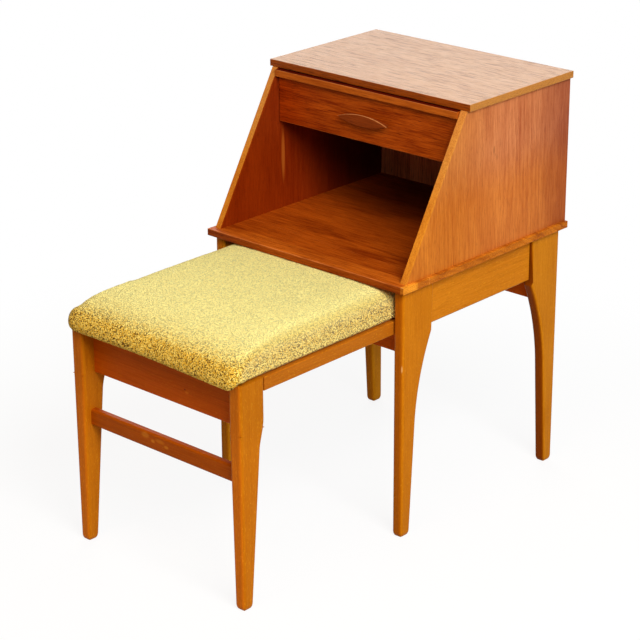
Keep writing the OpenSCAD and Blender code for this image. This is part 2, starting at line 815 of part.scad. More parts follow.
// Seat frame
function seat_depth(z) =
    let (taper = seat_foot_d + (seat_root_d - seat_foot_d) * z / knee_h,
        t = max(0, min(1, (z - knee_h + knee_l) / knee_l)))
    taper + (seat_leg_d - taper) * t * t * (3 - 2 * t);
function seat_thick(z) = seat_foot_t + (seat_leg_t - seat_foot_t) * min(1, z / seat_apron_bottom);
knee_steps = 7;
seat_leg_rings = concat(foot_rings,
    [for (i = [0:knee_steps]) [share(i / knee_steps, knee_h - knee_l, knee_h), 0]], [[seat_h, 0]]);
module seat_leg() {
    x_mid = seat_out_x - seat_foot_t / 2;
    y_mid = seat_y + seat_foot_d / 2;
    color(golden) difference() {
        loft([for (k = seat_leg_rings)
                ring(seat_out_x - seat_thick(k[0]), seat_y, seat_out_x, seat_y + seat_depth(k[0]),
                    seat_leg_ease, k[0], k[1])],
            [x_mid, y_mid, 0], [x_mid, y_mid, seat_h]);
        seat_dowel_set(fit, end_room);
        stretcher_tenon(fit, end_room);
    }
}
module seat_leg_right() {
    seat_leg();
}
module seat_leg_left() {
    left() seat_leg();
}
module seat_dowel_set(grow, room) {
    r = dowel_dia / 2 + grow;
    rail_mid_x = (seat_rail_x + seat_rail_out_x) / 2;
    for (s = dowel_shares) {
        rod_y(rail_mid_x, seat_rail_y - dowel_end - room, seat_rail_y + dowel_end + room,
            share(s, seat_rail_bottom, seat_h), r);
        rod_x(seat_leg_x - dowel_end - room, seat_leg_x + dowel_side + room, seat_apron_y + seat_apron_t / 2,
            share(s, seat_apron_bottom, seat_rail_bottom), r);
        rod_x(seat_rail_x - dowel_end - room, seat_rail_x + dowel_side + room, seat_rear_y + seat_rear_t / 2,
            share(s, seat_rail_bottom, seat_h), r);
    }
}
module seat_dowels() {
    color(beech) both_sides() seat_dowel_set(0, 0);
}
module seat_apron() {
    color(golden) difference() {
        bar_x([-seat_leg_x, seat_apron_y, seat_apron_bottom],
            [seat_leg_x, seat_apron_y + seat_apron_t, seat_h], rail_ease);
        both_sides() seat_dowel_set(fit, end_room);
    }
}
// The stretcher's shoulders follow the taper of the legs' inner faces
module stretcher_tenon(grow, room) {
    x = seat_out_x - seat_thick(stretcher_up);
    block([x - 2 * tenon_in, stretcher_y + tenon_in - grow, stretcher_up + 2 * tenon_in - grow],
        [x + tenon_l + room, stretcher_y + stretcher_t - tenon_in + grow,
            stretcher_up + stretcher_h - 2 * tenon_in + grow]);
}
module seat_stretcher() {
    top_z = stretcher_up + stretcher_h;
    low_x = seat_out_x - seat_thick(stretcher_up) - fit;
    top_x = seat_out_x - seat_thick(top_z) - fit;
    color(golden) union() {
        intersection() {
            bar_x([-low_x, stretcher_y, stretcher_up], [low_x, stretcher_y + stretcher_t, top_z],
                stretcher_ease);
            translate([0, stretcher_y + stretcher_t + over, 0]) rotate([quarter, 0, 0])
                linear_extrude(stretcher_t + 2 * over)
                polygon([[-low_x, stretcher_up], [low_x, stretcher_up], [top_x, top_z], [-top_x, top_z]]);
        }
        both_sides() stretcher_tenon(0, 0);
    }
}
module seat_side_rail() {
    color(golden) difference() {
        bar_y([seat_rail_x, seat_rail_y, seat_rail_bottom], [seat_rail_out_x, seat_back_y, seat_h],
            rail_ease);
        seat_dowel_set(fit, end_room);
    }
}
module seat_rail_right() {
    seat_side_rail();
}
module seat_rail_left() {
    left() seat_side_rail();
}
module seat_rail_rear() {
    color(beech) difference() {
        bar_x([-seat_rail_x, seat_rear_y, seat_rail_bottom], [seat_rail_x, seat_back_y, seat_h], rail_ease);
        both_sides() seat_dowel_set(fit, end_room);
        both_sides() board_screw_set(fit, end_room);
    }
}
module seat_corner_blocks() {
    color(beech) both_sides() difference() {
        translate([0, 0, seat_h - corner_h]) linear_extrude(corner_h)
            polygon([[seat_leg_x, corner_y], [seat_leg_x, seat_rail_y], [seat_rail_x, seat_rail_y],
                [seat_rail_x, corner_y + corner_l], [seat_leg_x - corner_l, corner_y]]);
        board_screw_set(fit, end_room);
    }
}
module board_screw_set(grow, room) {
    tip_z = seat_h + seat_board_t * tip_share;
    for (p = [[seat_leg_x - corner_l / 3, corner_y + corner_l / 3, seat_h - corner_h],
            [seat_leg_x * mid_share, share(rear_screw_share, seat_rear_y, seat_back_y), seat_rail_bottom]]) {
        rod_z(p[0], p[1], p[2] + 2 * screw_head_h - fit, tip_z + room, screw_dia / 2 + grow);
        rod_z(p[0], p[1], grow > 0 ? p[2] - over : p[2] + screw_head_h, p[2] + 2 * screw_head_h,
            screw_head_dia / 2 + grow);
    }
}
module seat_screws() {
    color(steel) both_sides() board_screw_set(0, 0);
}
module seat_board() {
    color(plywood) difference() {
        block([-seat_board_x, seat_board_y, seat_h],
            [seat_board_x, seat_board_end_y, seat_h + seat_board_t]);
        both_sides() board_screw_set(fit, fit);
    }
}

// Cushion. Each row is a ring, from the lower edge to the crown: how far it lies in from the
// sides as a share of the half width, from the front as a share of the length, and its height at
// the sides and at the front as shares of the crown's height above the frame.
cushion_l = cushion_end_y - cushion_y;
hang_share = cushion_hang / cushion_h;
cushion_shares = [
    [0.012, 0.02, 0, -hang_share], [0.002, 0.006, 0.06, -0.5 * hang_share], [0, 0, 0.2, 0.05],
    [0.004, 0.006, 0.42, 0.28], [0.014, 0.026, 0.62, 0.5], [0.036, 0.07, 0.785, 0.69],
    [0.085, 0.145, 0.9, 0.83], [0.17, 0.24, 0.955, 0.92], [0.33, 0.34, 0.985, 0.965],
    [0.55, 0.41, 0.995, 0.988], [0.8, 0.45, 1, 1]];
corner_steps = 6;
side_steps = 6;
// How far back the softer front reaches, as a share of the length
front_share = 0.3;
function corner(x, y, r, start) = [for (i = [0:corner_steps])
    let (t = start + quarter * i / corner_steps) [x + r * cos(t), y + r * sin(t)]];
function edge(a, b) = [for (i = [1:side_steps - 1])
    let (s = i / side_steps) [share(s, a[0], b[0]), share(s, a[1], b[1])]];
function plan(x, y0, y1, r) = concat(
    corner(x - r, y1 - r, r, 0), edge([x - r, y1], [r - x, y1]),
    corner(r - x, y1 - r, r, quarter), edge([-x, y1 - r], [-x, y0 + r]),
    corner(r - x, y0 + r, r, 2 * quarter), edge([r - x, y0], [x - r, y0]),
    corner(x - r, y0 + r, r, 3 * quarter), edge([x, y0 + r], [x, y1 - r]));
// 1 at the cushion's front and 0 behind the softer part
function softness(y) = let (t = max(0, 1 - (y - cushion_y) / (front_share * cushion_l))) t * t;
outer_plan = plan(cushion_x, cushion_y, cushion_end_y, cushion_r);
function cushion_ring(k) =
    let (side = k[0] * cushion_x, front = k[1] * cushion_l, r = max(cushion_r - side, cushion_r / 4),
        p = plan(cushion_x - side, cushion_y + front, cushion_end_y - side, r))
    [for (i = [0:len(p) - 1]) let (w = softness(outer_plan[i][1]))
        [p[i][0] * (1 + w * cushion_corner_out / cushion_x), p[i][1],
            seat_h + cushion_h * share(w, k[2], k[3])]];
module seat_cushion() {
    middle_y = (cushion_y + cushion_end_y) / 2;
    color(boucle_yellow) difference() {
        loft([for (k = cushion_shares) cushion_ring(k)], [0, middle_y, seat_h], [0, middle_y, crown_h]);
        block([-board_x, seat_y - slip, seat_h - cushion_hang - over],
            [board_x, cushion_end_y + over, seat_h + slip]);
        block([-seat_board_x - slip, seat_board_y - slip, seat_h - over],
            [seat_board_x + slip, seat_board_end_y + slip, seat_h + seat_board_t + slip]);
    }
}

top_board();
side_panel_left();
side_panel_right();
shelf_board();
back_panel();
back_pins();
slide_rail();
slide_guide_left();
slide_guide_right();
drawer_runner_left();
drawer_runner_right();
leg_front_left();
leg_front_right();
leg_back_left();
leg_back_right();
apron_left();
apron_right();
cross_rail_front();
cross_rail_back();
seat_runner_left();
seat_runner_right();
seat_stops();
panel_dowels();
frame_dowels();
shelf_screws();
runner_screws();
slide_board();
slide_lipping();
slide_pegs();
drawer_front();
drawer_side_left();
drawer_side_right();
drawer_back();
drawer_bottom();
drawer_dowels();
drawer_pull();
pull_screws();
seat_leg_left();
seat_leg_right();
seat_apron();
seat_stretcher();
seat_rail_left();
seat_rail_right();
seat_rail_rear();
seat_corner_blocks();
seat_board();
seat_dowels();
seat_screws();
seat_cushion();
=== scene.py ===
# %% [markdown]
# A telephone bench: a small teak cabinet with a writing slide, a drawer and an open shelf for a
# telephone stands on four flared legs, and a padded seat on two legs slides in under the shelf.
# The construction comes ready made, as a frame of wooden parts that stay where they are. This script
# finishes every surface, models the shaped legs, the stretcher, the pull and the cushion more finely,
# and sets up the light and the camera.

# %% Load the frame
import math

import bmesh
import bpy
from mathutils import Matrix, Vector, noise


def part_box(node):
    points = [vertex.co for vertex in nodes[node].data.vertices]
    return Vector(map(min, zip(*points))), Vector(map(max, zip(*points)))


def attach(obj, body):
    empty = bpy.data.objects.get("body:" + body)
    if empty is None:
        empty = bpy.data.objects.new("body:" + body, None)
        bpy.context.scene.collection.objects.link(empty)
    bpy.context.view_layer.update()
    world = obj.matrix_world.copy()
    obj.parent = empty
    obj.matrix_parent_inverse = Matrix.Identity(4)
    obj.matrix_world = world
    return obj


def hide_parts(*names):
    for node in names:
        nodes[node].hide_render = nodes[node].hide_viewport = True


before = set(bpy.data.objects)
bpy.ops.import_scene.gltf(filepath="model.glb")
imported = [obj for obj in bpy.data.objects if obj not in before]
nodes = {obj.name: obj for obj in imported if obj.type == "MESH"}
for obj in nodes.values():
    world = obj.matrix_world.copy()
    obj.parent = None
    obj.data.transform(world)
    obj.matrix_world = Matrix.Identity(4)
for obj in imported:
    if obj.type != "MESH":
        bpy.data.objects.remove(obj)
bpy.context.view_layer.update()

MM = 0.001
print("parts in the frame:", len(nodes))

# %% [markdown]
# A material is a small graph of nodes, and most of the work in it is adding nodes and joining their
# sockets. One helper does both: a setting that is a socket becomes a link, and any other value is
# written on the socket itself. Colours are easier to think of as the hex values that a picture shows,
# so another helper turns such a value into the linear light that the renderer works in.

# %% Two helpers for materials
def add(tree, kind, inputs=None, **settings):
    node = tree.nodes.new(kind)
    for name, value in settings.items():
        setattr(node, name, value)
    for name, value in (inputs or {}).items():
        if isinstance(value, bpy.types.NodeSocket):
            tree.links.new(value, node.inputs[name])
        else:
            node.inputs[name].default_value = value
    return node


def linear(hex_colour):
    shares = [int(hex_colour[i:i + 2], 16) / 255 for i in (1, 3, 5)]
    return tuple(c / 12.92 if c <= 0.04045 else ((c + 0.055) / 1.055) ** 2.4 for c in shares) + (1,)


def blank_material(name):
    material = bpy.data.materials.new(name)
    material.use_nodes = True
    material.node_tree.nodes.clear()
    return material


print("mid grey in linear light:", round(linear("#808080")[0], 3))

# %% [markdown]
# The camera stands to the right of the bench and looks down on it through a long lens, as the
# photographer did. Its place, turn and focal length were solved from the straight edges of the
# furniture. A camera looks along its own minus Z, so its three axes are worked out from the turn, the
# tilt and the slight roll, and put side by side in a matrix.

# %% Camera
CAMERA_PLACE = Vector((2.31235, -2.53632, 1.69776))
CAMERA_TURN, CAMERA_TILT, CAMERA_ROLL = (math.radians(a) for a in (42.346, -21.659, -0.314))
CAMERA_LENS = 120.37
CAMERA_SENSOR = 36.0
BENCH_MIDDLE = Vector((0, 0, 0.37))

ahead = Vector((-math.sin(CAMERA_TURN) * math.cos(CAMERA_TILT),
                math.cos(CAMERA_TURN) * math.cos(CAMERA_TILT), math.sin(CAMERA_TILT)))
level_right = Vector((math.cos(CAMERA_TURN), math.sin(CAMERA_TURN), 0))
level_up = level_right.cross(ahead)
right = level_right * math.cos(CAMERA_ROLL) + level_up * math.sin(CAMERA_ROLL)
up = level_up * math.cos(CAMERA_ROLL) - level_right * math.sin(CAMERA_ROLL)

camera = bpy.data.objects.new("camera", bpy.data.cameras.new("camera"))
camera.data.lens = CAMERA_LENS
camera.data.sensor_width = CAMERA_SENSOR
camera.matrix_world = (Matrix.Translation(CAMERA_PLACE)
                       @ Matrix((right, up, -ahead)).transposed().to_4x4())
bpy.context.scene.collection.objects.link(camera)
bpy.context.scene.camera = camera
bpy.context.scene.view_settings.view_transform = "Standard"
print("camera to the bench's middle, in metres:", round((CAMERA_PLACE - BENCH_MIDDLE).length, 2))

# %% [markdown]
# The photograph was taken in soft daylight from one large window, high up on the right and a little in
# front. Its height shows in the compartment: the shadow of the drawer falls steeply down the left panel.
# A square area lamp stands for the window. A weaker, warm one high in front is what the ceiling throws
# back, and one behind the bench is the bright wall whose soft mirror image makes the top board look
# pale. A lamp's power follows from the brightness wanted: a white surface that faces a lamp at distance
# d is lit to full white by pi squared times d squared watts.

# %% Lamps
LAMP_TARGET = Vector((0, 0, 0.4))


def lamp(name, towards, distance, size, brightness, tint="#FFFFFF"):
    data = bpy.data.lights.new(name, "AREA")
    data.shape = "SQUARE"
    data.size = size
    data.energy = brightness * (math.pi * distance) ** 2
    data.color = linear(tint)[:3]
    lamp_object = bpy.data.objects.new(name, data)
    direction = Vector(towards).normalized()
    lamp_object.matrix_world = (Matrix.Translation(LAMP_TARGET + direction * distance)
                                @ direction.to_track_quat("Z", "Y").to_matrix().to_4x4())
    lamp_object.visible_camera = False
    bpy.context.scene.collection.objects.link(lamp_object)
    return lamp_object


lamps = [
    lamp("window", towards=(0.72, -0.34, 0.61), distance=3.0, size=1.5, brightness=1.10),
    lamp("ceiling_in_front", towards=(0.15, -0.60, 0.79), distance=3.0, size=1.6, brightness=0.28,
         tint="#FFD6AE"),
    lamp("wall_behind", towards=(-0.626, 0.687, 0.42), distance=3.2, size=2.4, brightness=0.40),
]
print("lamps, in watts:", [round(one.data.energy, 1) for one in lamps])

# %% [markdown]
# The floor and the background are plain white. Where the camera, or a reflection, looks at them they
# are simply white, at strength 1, so no extra light falls on the furniture to make them so. Near the
# bench the floor keeps a share of its real shading, which leaves the soft shadow under the legs, and
# that share fades out with the distance.

# %% Background
FILL = 0.20


def seen_directly(tree):
    path = add(tree, "ShaderNodeLightPath").outputs
    mirrored = add(tree, "ShaderNodeMath", {0: path["Is Glossy Ray"], 1: path["Is Transmission Ray"]},
                   operation="MAXIMUM").outputs[0]
    return add(tree, "ShaderNodeMath", {0: path["Is Camera Ray"], 1: mirrored},
               operation="MAXIMUM").outputs[0]


world = bpy.data.worlds.new("white_room")
bpy.context.scene.world = world
world.use_nodes = True
tree = world.node_tree
tree.nodes.clear()
room_light = add(tree, "ShaderNodeBackground", {"Color": linear("#FFFFFF"), "Strength": FILL})
room_white = add(tree, "ShaderNodeBackground", {"Color": linear("#FFFFFF"), "Strength": 1.0})
room = add(tree, "ShaderNodeMixShader",
           {0: seen_directly(tree), 1: room_light.outputs[0], 2: room_white.outputs[0]})
add(tree, "ShaderNodeOutputWorld", {"Surface": room.outputs[0]})
print("fill light from all round:", FILL)

# %% Floor
FLOOR_RADIUS = 9.0
FLOOR_DROP = 0.2 * MM
SHADOW_SHARE = 0.12
SHADOW_FULL, SHADOW_REACH = 0.5, 1.3

paper = blank_material("white_paper_sweep")
tree = paper.node_tree
spot = add(tree, "ShaderNodeTexCoord")
away = add(tree, "ShaderNodeVectorMath", {0: spot.outputs["Object"]}, operation="LENGTH")
near = add(tree, "ShaderNodeMapRange",
           {"Value": away.outputs["Value"], "From Min": SHADOW_FULL, "From Max": SHADOW_REACH,
            "To Min": 1 - SHADOW_SHARE, "To Max": 1.0}, interpolation_type="SMOOTHSTEP")
white_share = add(tree, "ShaderNodeMath", {0: near.outputs[0], 1: seen_directly(tree)},
                  operation="MULTIPLY")
paper_tone = add(tree, "ShaderNodeMix",
                 {0: seen_directly(tree), 6: linear("#C0BCB4"), 7: linear("#F4F4F2")}, data_type="RGBA")
lit = add(tree, "ShaderNodeBsdfDiffuse", {"Color": paper_tone.outputs[2]})
plain = add(tree, "ShaderNodeEmission", {"Color": linear("#FFFFFF"), "Strength": 1.0})
floor_mix = add(tree, "ShaderNodeMixShader",
                {0: white_share.outputs[0], 1: lit.outputs[0], 2: plain.outputs[0]})
add(tree, "ShaderNodeOutputMaterial", {"Surface": floor_mix.outputs[0]})

floor_mesh = bpy.data.meshes.new("floor")
bm = bmesh.new()
bmesh.ops.create_circle(bm, cap_ends=True, segments=64, radius=FLOOR_RADIUS,
                        matrix=Matrix.Translation((0, 0, -FLOOR_DROP)))
bm.to_mesh(floor_mesh)
bm.free()
floor_mesh.materials.append(paper)
floor = bpy.data.objects.new("floor", floor_mesh)
bpy.context.scene.collection.objects.link(floor)
print("floor: radius in metres", FLOOR_RADIUS)

# %% [markdown]
# Wood looks like wood because its pattern is drawn out along the grain. All the timbers here share one
# way of working: object coordinates are turned so that the grain runs along X, and then noise is
# stretched along it. Three sizes of pattern lie over each other: growth rings a few millimetres to a
# few centimetres apart, fine streaks, and pores. The rings are drawn as the distance from the log's
# heart, which lies outside the board, so that flat faces show the long arches of sawn timber.

# %% The grain's own space
ARCH_SHARE = 0.1
DRIFT_SIZE = (260, 34)
GRAIN_TURN = {"X": (0, 0, 0), "Y": (0, 0, -math.pi / 2), "Z": (0, math.pi / 2, 0)}


def grain_space(tree, axis):
    place = add(tree, "ShaderNodeTexCoord")
    return add(tree, "ShaderNodeMapping", {"Vector": place.outputs["Object"],
                                           "Rotation": GRAIN_TURN[axis]}).outputs[0]


def streaks(tree, space, along, across, detail=2.0, rough=0.5):
    drawn_out = add(tree, "ShaderNodeMapping",
                    {"Vector": space, "Scale": (1 / (along * MM), 1 / (across * MM), 1 / (across * MM))})
    return add(tree, "ShaderNodeTexNoise", {"Vector": drawn_out.outputs[0], "Scale": 1.0, "Detail": detail,
                                            "Roughness": rough}).outputs["Fac"]


def rings(tree, space, heart, spacing, wander):
    # The heart is given across the grain, in millimetres. A share of the way along counts too, which
    # closes the rings into arches.
    centred = add(tree, "ShaderNodeMapping",
                  {"Vector": space, "Location": (0, -heart[0] / spacing, -heart[1] / spacing),
                   "Scale": (ARCH_SHARE / (spacing * MM), 1 / (spacing * MM), 1 / (spacing * MM))})
    radius = add(tree, "ShaderNodeVectorMath", {0: centred.outputs[0]}, operation="LENGTH")
    drift = streaks(tree, space, *DRIFT_SIZE, detail=1.0)
    wandering = add(tree, "ShaderNodeMath", {0: drift, 1: wander, 2: radius.outputs["Value"]},
                    operation="MULTIPLY_ADD")
    turns = add(tree, "ShaderNodeMath", {0: wandering.outputs[0], 1: 2 * math.pi}, operation="MULTIPLY")
    wave = add(tree, "ShaderNodeMath", {0: turns.outputs[0]}, operation="SINE")
    return add(tree, "ShaderNodeMapRange", {"Value": wave.outputs[0], "From Min": -1.0,
                                            "From Max": 1.0}).outputs[0]


def between(tree, value, low, high, to_low=0.0, to_high=1.0):
    return add(tree, "ShaderNodeMapRange", {"Value": value, "From Min": low, "From Max": high,
                                            "To Min": to_low, "To Max": to_high},
               interpolation_type="SMOOTHSTEP").outputs[0]


def mix(tree, share, first, second, blend="MIX"):
    return add(tree, "ShaderNodeMix", {0: share, 6: first, 7: second}, data_type="RGBA",
               blend_type=blend).outputs[2]


print("the rings' arches are drawn out", round(1 / ARCH_SHARE), "times along the grain")

# %% [markdown]
# Teak veneer is open-pored and oily. It is finished with a thin satin lacquer here, and its colour comes
# from the wood itself: orange-brown, with darker lines along the growth rings and short dark pores. The
# pores are really a third of a millimetre wide, too fine to show at this distance, so they are drawn
# about three times as wide. Beech has hardly any figure, but small pale ray flecks, and its golden tone
# is a stain. One function makes both, because they differ only in colours and in sizes. A board is not
# the same everywhere, though: its edges are lipped with solid wood, its inner face is darker and redder
# than the outer one, and a knot or a rubbed arris breaks the pattern. So the function also takes
# zones, each a slice of space with its own tone, facings, which are the same for surfaces turned one way,
# and marks, each a small soft spot. Several of them are painted light and shade rather than the wood's
# own colour, and say so where they are used. Sizes of patterns are given along and across the grain, and
# zones as a direction, where the slice begins and ends along it, and how soft its edge is, all in
# millimetres.

# %% Zones, facings and marks
UNCHANGED = (1, 1, 1, 1)
MARK_CORE = 0.35


def tone_gain(wanted, tone):
    return tuple(w / t for w, t in zip(linear(wanted), linear(tone)))


def zone_gain(tree, place, towards, beyond, until, soft, gain):
    along = add(tree, "ShaderNodeVectorMath", {0: place, 1: Vector(towards).normalized() / MM},
                operation="DOT_PRODUCT").outputs["Value"]
    inside = between(tree, along, beyond - soft, beyond + soft)
    if until is not None:
        past = between(tree, along, until - soft, until + soft)
        inside = add(tree, "ShaderNodeMath", {0: inside, 1: past}, operation="SUBTRACT").outputs[0]
    return mix(tree, inside, UNCHANGED, gain)


def facing_share(tree, surface, facing, least, full, most=1.0):
    turned = add(tree, "ShaderNodeVectorMath", {0: surface, 1: facing}, operation="DOT_PRODUCT")
    return between(tree, turned.outputs["Value"], least, full, 0.0, most)


def mark_share(tree, place, centre, size, strength):
    shifted = add(tree, "ShaderNodeMapping",
                  {"Vector": place, "Location": tuple(-c / s for c, s in zip(centre, size)),
                   "Scale": tuple(1 / (s * MM) for s in size)}).outputs[0]
    away = add(tree, "ShaderNodeVectorMath", {0: shifted}, operation="LENGTH").outputs["Value"]
    return between(tree, away, MARK_CORE, 1.0, strength, 0.0)


print("a mark is full out to", MARK_CORE, "of its radius")

# %% One function for every timber
RING_WANDER = 2.6
RING_PATCH, DARK_PATCH, FLECK_SIZE = (420, 60), (130, 38), (6, 1.6)
PORE_EDGE = 0.1
GRAIN_BUMP = 0.6


def timber(name, axis, tone, dark, pore, heart=(-180, -90), spacing=11.0, ring_share=0.45,
           streak_share=0.5, streak_size=(90, 2.2), pore_size=(16, 0.9), pore_share=0.5, pore_from=0.60,
           fleck=None, fleck_share=0.0, patch_share=0.2, roughness=0.48, gloss=0.08,
           gloss_tint="#FF9A40", relief=0.12, zones=(), facings=(), marks=()):
    material = blank_material(name)
    tree = material.node_tree
    coordinates = add(tree, "ShaderNodeTexCoord").outputs
    place, normal = coordinates["Object"], coordinates["Normal"]
    space = grain_space(tree, axis)
    ring_line = between(tree, rings(tree, space, heart, spacing, RING_WANDER), 0.45, 1.0)
    ring_amount = between(tree, streaks(tree, space, *RING_PATCH, detail=1.0), 0.3, 0.7, 0.0, ring_share)
    streak = between(tree, streaks(tree, space, *streak_size, detail=4.0, rough=0.62), 0.34, 0.68)
    patch = between(tree, streaks(tree, space, *DARK_PATCH, detail=2.0), 0.3, 0.7, 0.0, patch_share)
    rings_and_patches = add(tree, "ShaderNodeMath", {0: ring_line, 1: ring_amount, 2: patch},
                            operation="MULTIPLY_ADD").outputs[0]
    darkness = add(tree, "ShaderNodeMath", {0: streak, 1: streak_share, 2: rings_and_patches},
                   operation="MULTIPLY_ADD", use_clamp=True).outputs[0]
    colour = mix(tree, darkness, linear(tone), linear(dark))
    pores = between(tree, streaks(tree, space, *pore_size, detail=1.0), pore_from, pore_from + PORE_EDGE,
                    0.0, pore_share)
    colour = mix(tree, pores, colour, linear(pore))
    if fleck:
        flecks = between(tree, streaks(tree, space, *FLECK_SIZE, detail=1.0), 0.60, 0.72, 0.0,
                         fleck_share)
        colour = mix(tree, flecks, colour, linear(fleck))
    for towards, beyond, until, soft, zone_tone in zones:
        gain = zone_gain(tree, place, towards, beyond, until, soft, tone_gain(zone_tone, tone))
        colour = mix(tree, 1.0, colour, gain, "MULTIPLY")
    for facing, least, full, facing_tone in facings:
        share = facing_share(tree, normal, Vector(facing).normalized(), least, full)
        gain = mix(tree, share, UNCHANGED, tone_gain(facing_tone, tone))
        colour = mix(tree, 1.0, colour, gain, "MULTIPLY")
    for centre, size, mark_tone, strength in marks:
        colour = mix(tree, mark_share(tree, place, centre, size, strength), colour, linear(mark_tone))
    height = add(tree, "ShaderNodeMath", {0: streak, 1: pores}, operation="SUBTRACT").outputs[0]
    bump = add(tree, "ShaderNodeBump", {"Height": height, "Distance": relief * MM,
                                        "Strength": GRAIN_BUMP})
    dull = between(tree, streak, 0.0, 1.0, roughness - 0.05, roughness + 0.07)
    shader = add(tree, "ShaderNodeBsdfPrincipled",
                 {"Base Color": colour, "Roughness": dull, "Normal": bump.outputs[0],
                  "Specular IOR Level": gloss, "Specular Tint": linear(gloss_tint)})
    add(tree, "ShaderNodeOutputMaterial", {"Surface": shader.outputs[0]})
    return material


print("growth rings wander by up to", RING_WANDER, "of their spacing")

# %% [markdown]
# The places of most zones are read from the parts' own boxes, in millimetres: the line between the inner
# and the outer face of a side panel, the plane of its slanted edge, and the boards' edges. Those that
# only follow changes of tone across a face, such as towards the top or the back, are plain numbers.

# %% Where a timber changes
def edges_of(node):
    low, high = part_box(node)
    return low / MM, high / MM


panel_low, panel_high = edges_of("side_panel_right")
top_low, top_high = edges_of("top_board")
shelf_board_low, shelf_board_high = edges_of("shelf_board")
drawer_low = edges_of("drawer_front")[0]
back_low, back_high = edges_of("back_panel")

SLANT_HEAD_BACK = 0.6
slant_foot = Vector((0, panel_low.y, panel_low.z))
slant_head = Vector((0, top_low.y - SLANT_HEAD_BACK, panel_high.z))
slant_run = slant_head - slant_foot
slant_out = Vector((0, -slant_run.z, slant_run.y)).normalized()
slant_edge = slant_out.dot(slant_foot)

LIPPING, EDGE_SKIN, INNER_SKIN, ARRIS_WIDTH = 3.0, 0.5, 0.8, 0.8
CRISP = 0.3
LEFT, RIGHT, FRONT, BACK, UP = (-1, 0, 0), (1, 0, 0), (0, -1, 0), (0, 1, 0), (0, 0, 1)
FRONT_ARRIS, LOWER_ARRIS = (0, -1, 1), (0, -1, -1)


def edge_line(towards, edge, tone):
    return (towards, edge - EDGE_SKIN, None, CRISP, tone)


# A thin line of another tone along a board's upper front arris. On the shelf and the slide's lipping it is
# lighter: a painted highlight, for an arris rounded too finely to catch the light itself.
def arris_line(low, high, tone, width=ARRIS_WIDTH):
    return (FRONT_ARRIS, (high.z - low.y) / math.sqrt(2) - width, None, 0.25, tone)


print("slanted edge leans", round(math.degrees(math.atan2(slant_run.y, slant_run.z)), 1), "degrees")

# %% Teak
TEAK = dict(pore="#84401A", streak_share=0.5, ring_share=0.22, streak_size=(42, 1.5), patch_share=0.3,
            pore_size=(11, 1.1), pore_share=0.4)
DEEP_TEAK = dict(pore="#3C1002", streak_share=0.62, ring_share=0.32, streak_size=(45, 1.7),
                 patch_share=0.35)
# The outer faces change towards the front, the top and the back. The inner faces and the slanted edges
# differ more. Deep in the compartment each panel's inner face has a dark spot of painted shade, the
# shadow that the drawer casts.
teak_panel = timber("teak_veneer_upright", "Z", "#D68038", "#A44C1C", **TEAK, zones=[
    (FRONT, -150, None, 90, "#D07C28"),
    (UP, 600, None, 50, "#D08250"),
    (BACK, 340, None, 60, "#B05E2A"),
    (RIGHT, -INNER_SKIN - panel_low.x, panel_low.x + INNER_SKIN, 0.4, "#8E3008"),
    (slant_out, slant_edge - LIPPING, None, 0.4, "#DE8E36"),
], marks=[
    ((218, 196, 640), (6, 3, 9), "#7A4420", 0.5),
    ((218, 204, 626), (6, 2, 6), "#7A4420", 0.4),
    ((-panel_low.x, 131, 560), (3, 6, 60), "#D07828", 0.35),
    # painted shade: the drawer's shadow on both panels' inner faces, deep in the compartment
    ((panel_low.x, 350, 590), (4, 190, 230), "#2A0802", 0.75),
    ((-panel_low.x, 350, 590), (4, 190, 230), "#2A0802", 0.75),
])
# The top's pale tone is partly paler teak and partly painted sheen, on top of the real reflection of the
# wall lamp behind.
teak_top = timber("teak_veneer_top", "X", "#CBA480", "#9A6C4C", heart=(300, -160), gloss=0.3,
                  pore="#52301C", streak_share=0.42, ring_share=0.14, patch_share=0.08, pore_from=0.57,
                  streak_size=(26, 0.9), pore_size=(38, 1.2), pore_share=0.85, zones=[
    # the front edge is darker and redder than the ends: painted shade for a face turned to the front
    edge_line(FRONT, -top_low.y, "#8E4006"),
    edge_line(RIGHT, top_high.x, "#C48438"),
    edge_line(LEFT, top_high.x, "#C48438"),
    arris_line(top_low, top_high, "#B07438", 0.5),
])
# The shelf has a lighter strip along its front, and a fine light joint line at a slight angle. Its front
# edge is darker with painted shade, and the dark spot at its back is painted shade deep in the compartment.
teak_shelf = timber("teak_veneer_shelf", "X", "#B4520E", "#742602", heart=(-60, -220), **DEEP_TEAK, zones=[
    (FRONT, 8, None, 0.6, "#D06A18"),
    # painted shade on the front edge, a face turned to the front
    edge_line(FRONT, -shelf_board_low.y, "#903C08"),
    (RIGHT, panel_high.x, None, CRISP, "#DA801E"),
    ((0.054, 1, 0), 33.9, 34.9, 0.4, "#D87028"),
    # painted highlight along the shelf's front arris
    arris_line(shelf_board_low, shelf_board_high, "#D07030"),
], marks=[
    # painted shade at the back of the compartment
    ((0, 420, shelf_board_high.z), (260, 300, 4), "#2A0802", 0.8),
])
teak_drawer = timber("teak_veneer_drawer", "X", "#B4500E", "#742402", heart=(-120, 760), **DEEP_TEAK,
                     zones=[
    (LEFT, 130, None, 60, "#A63C06"),
    (LOWER_ARRIS, (-drawer_low.y - drawer_low.z) / math.sqrt(2) - ARRIS_WIDTH, None, 0.25, "#C87030"),
])
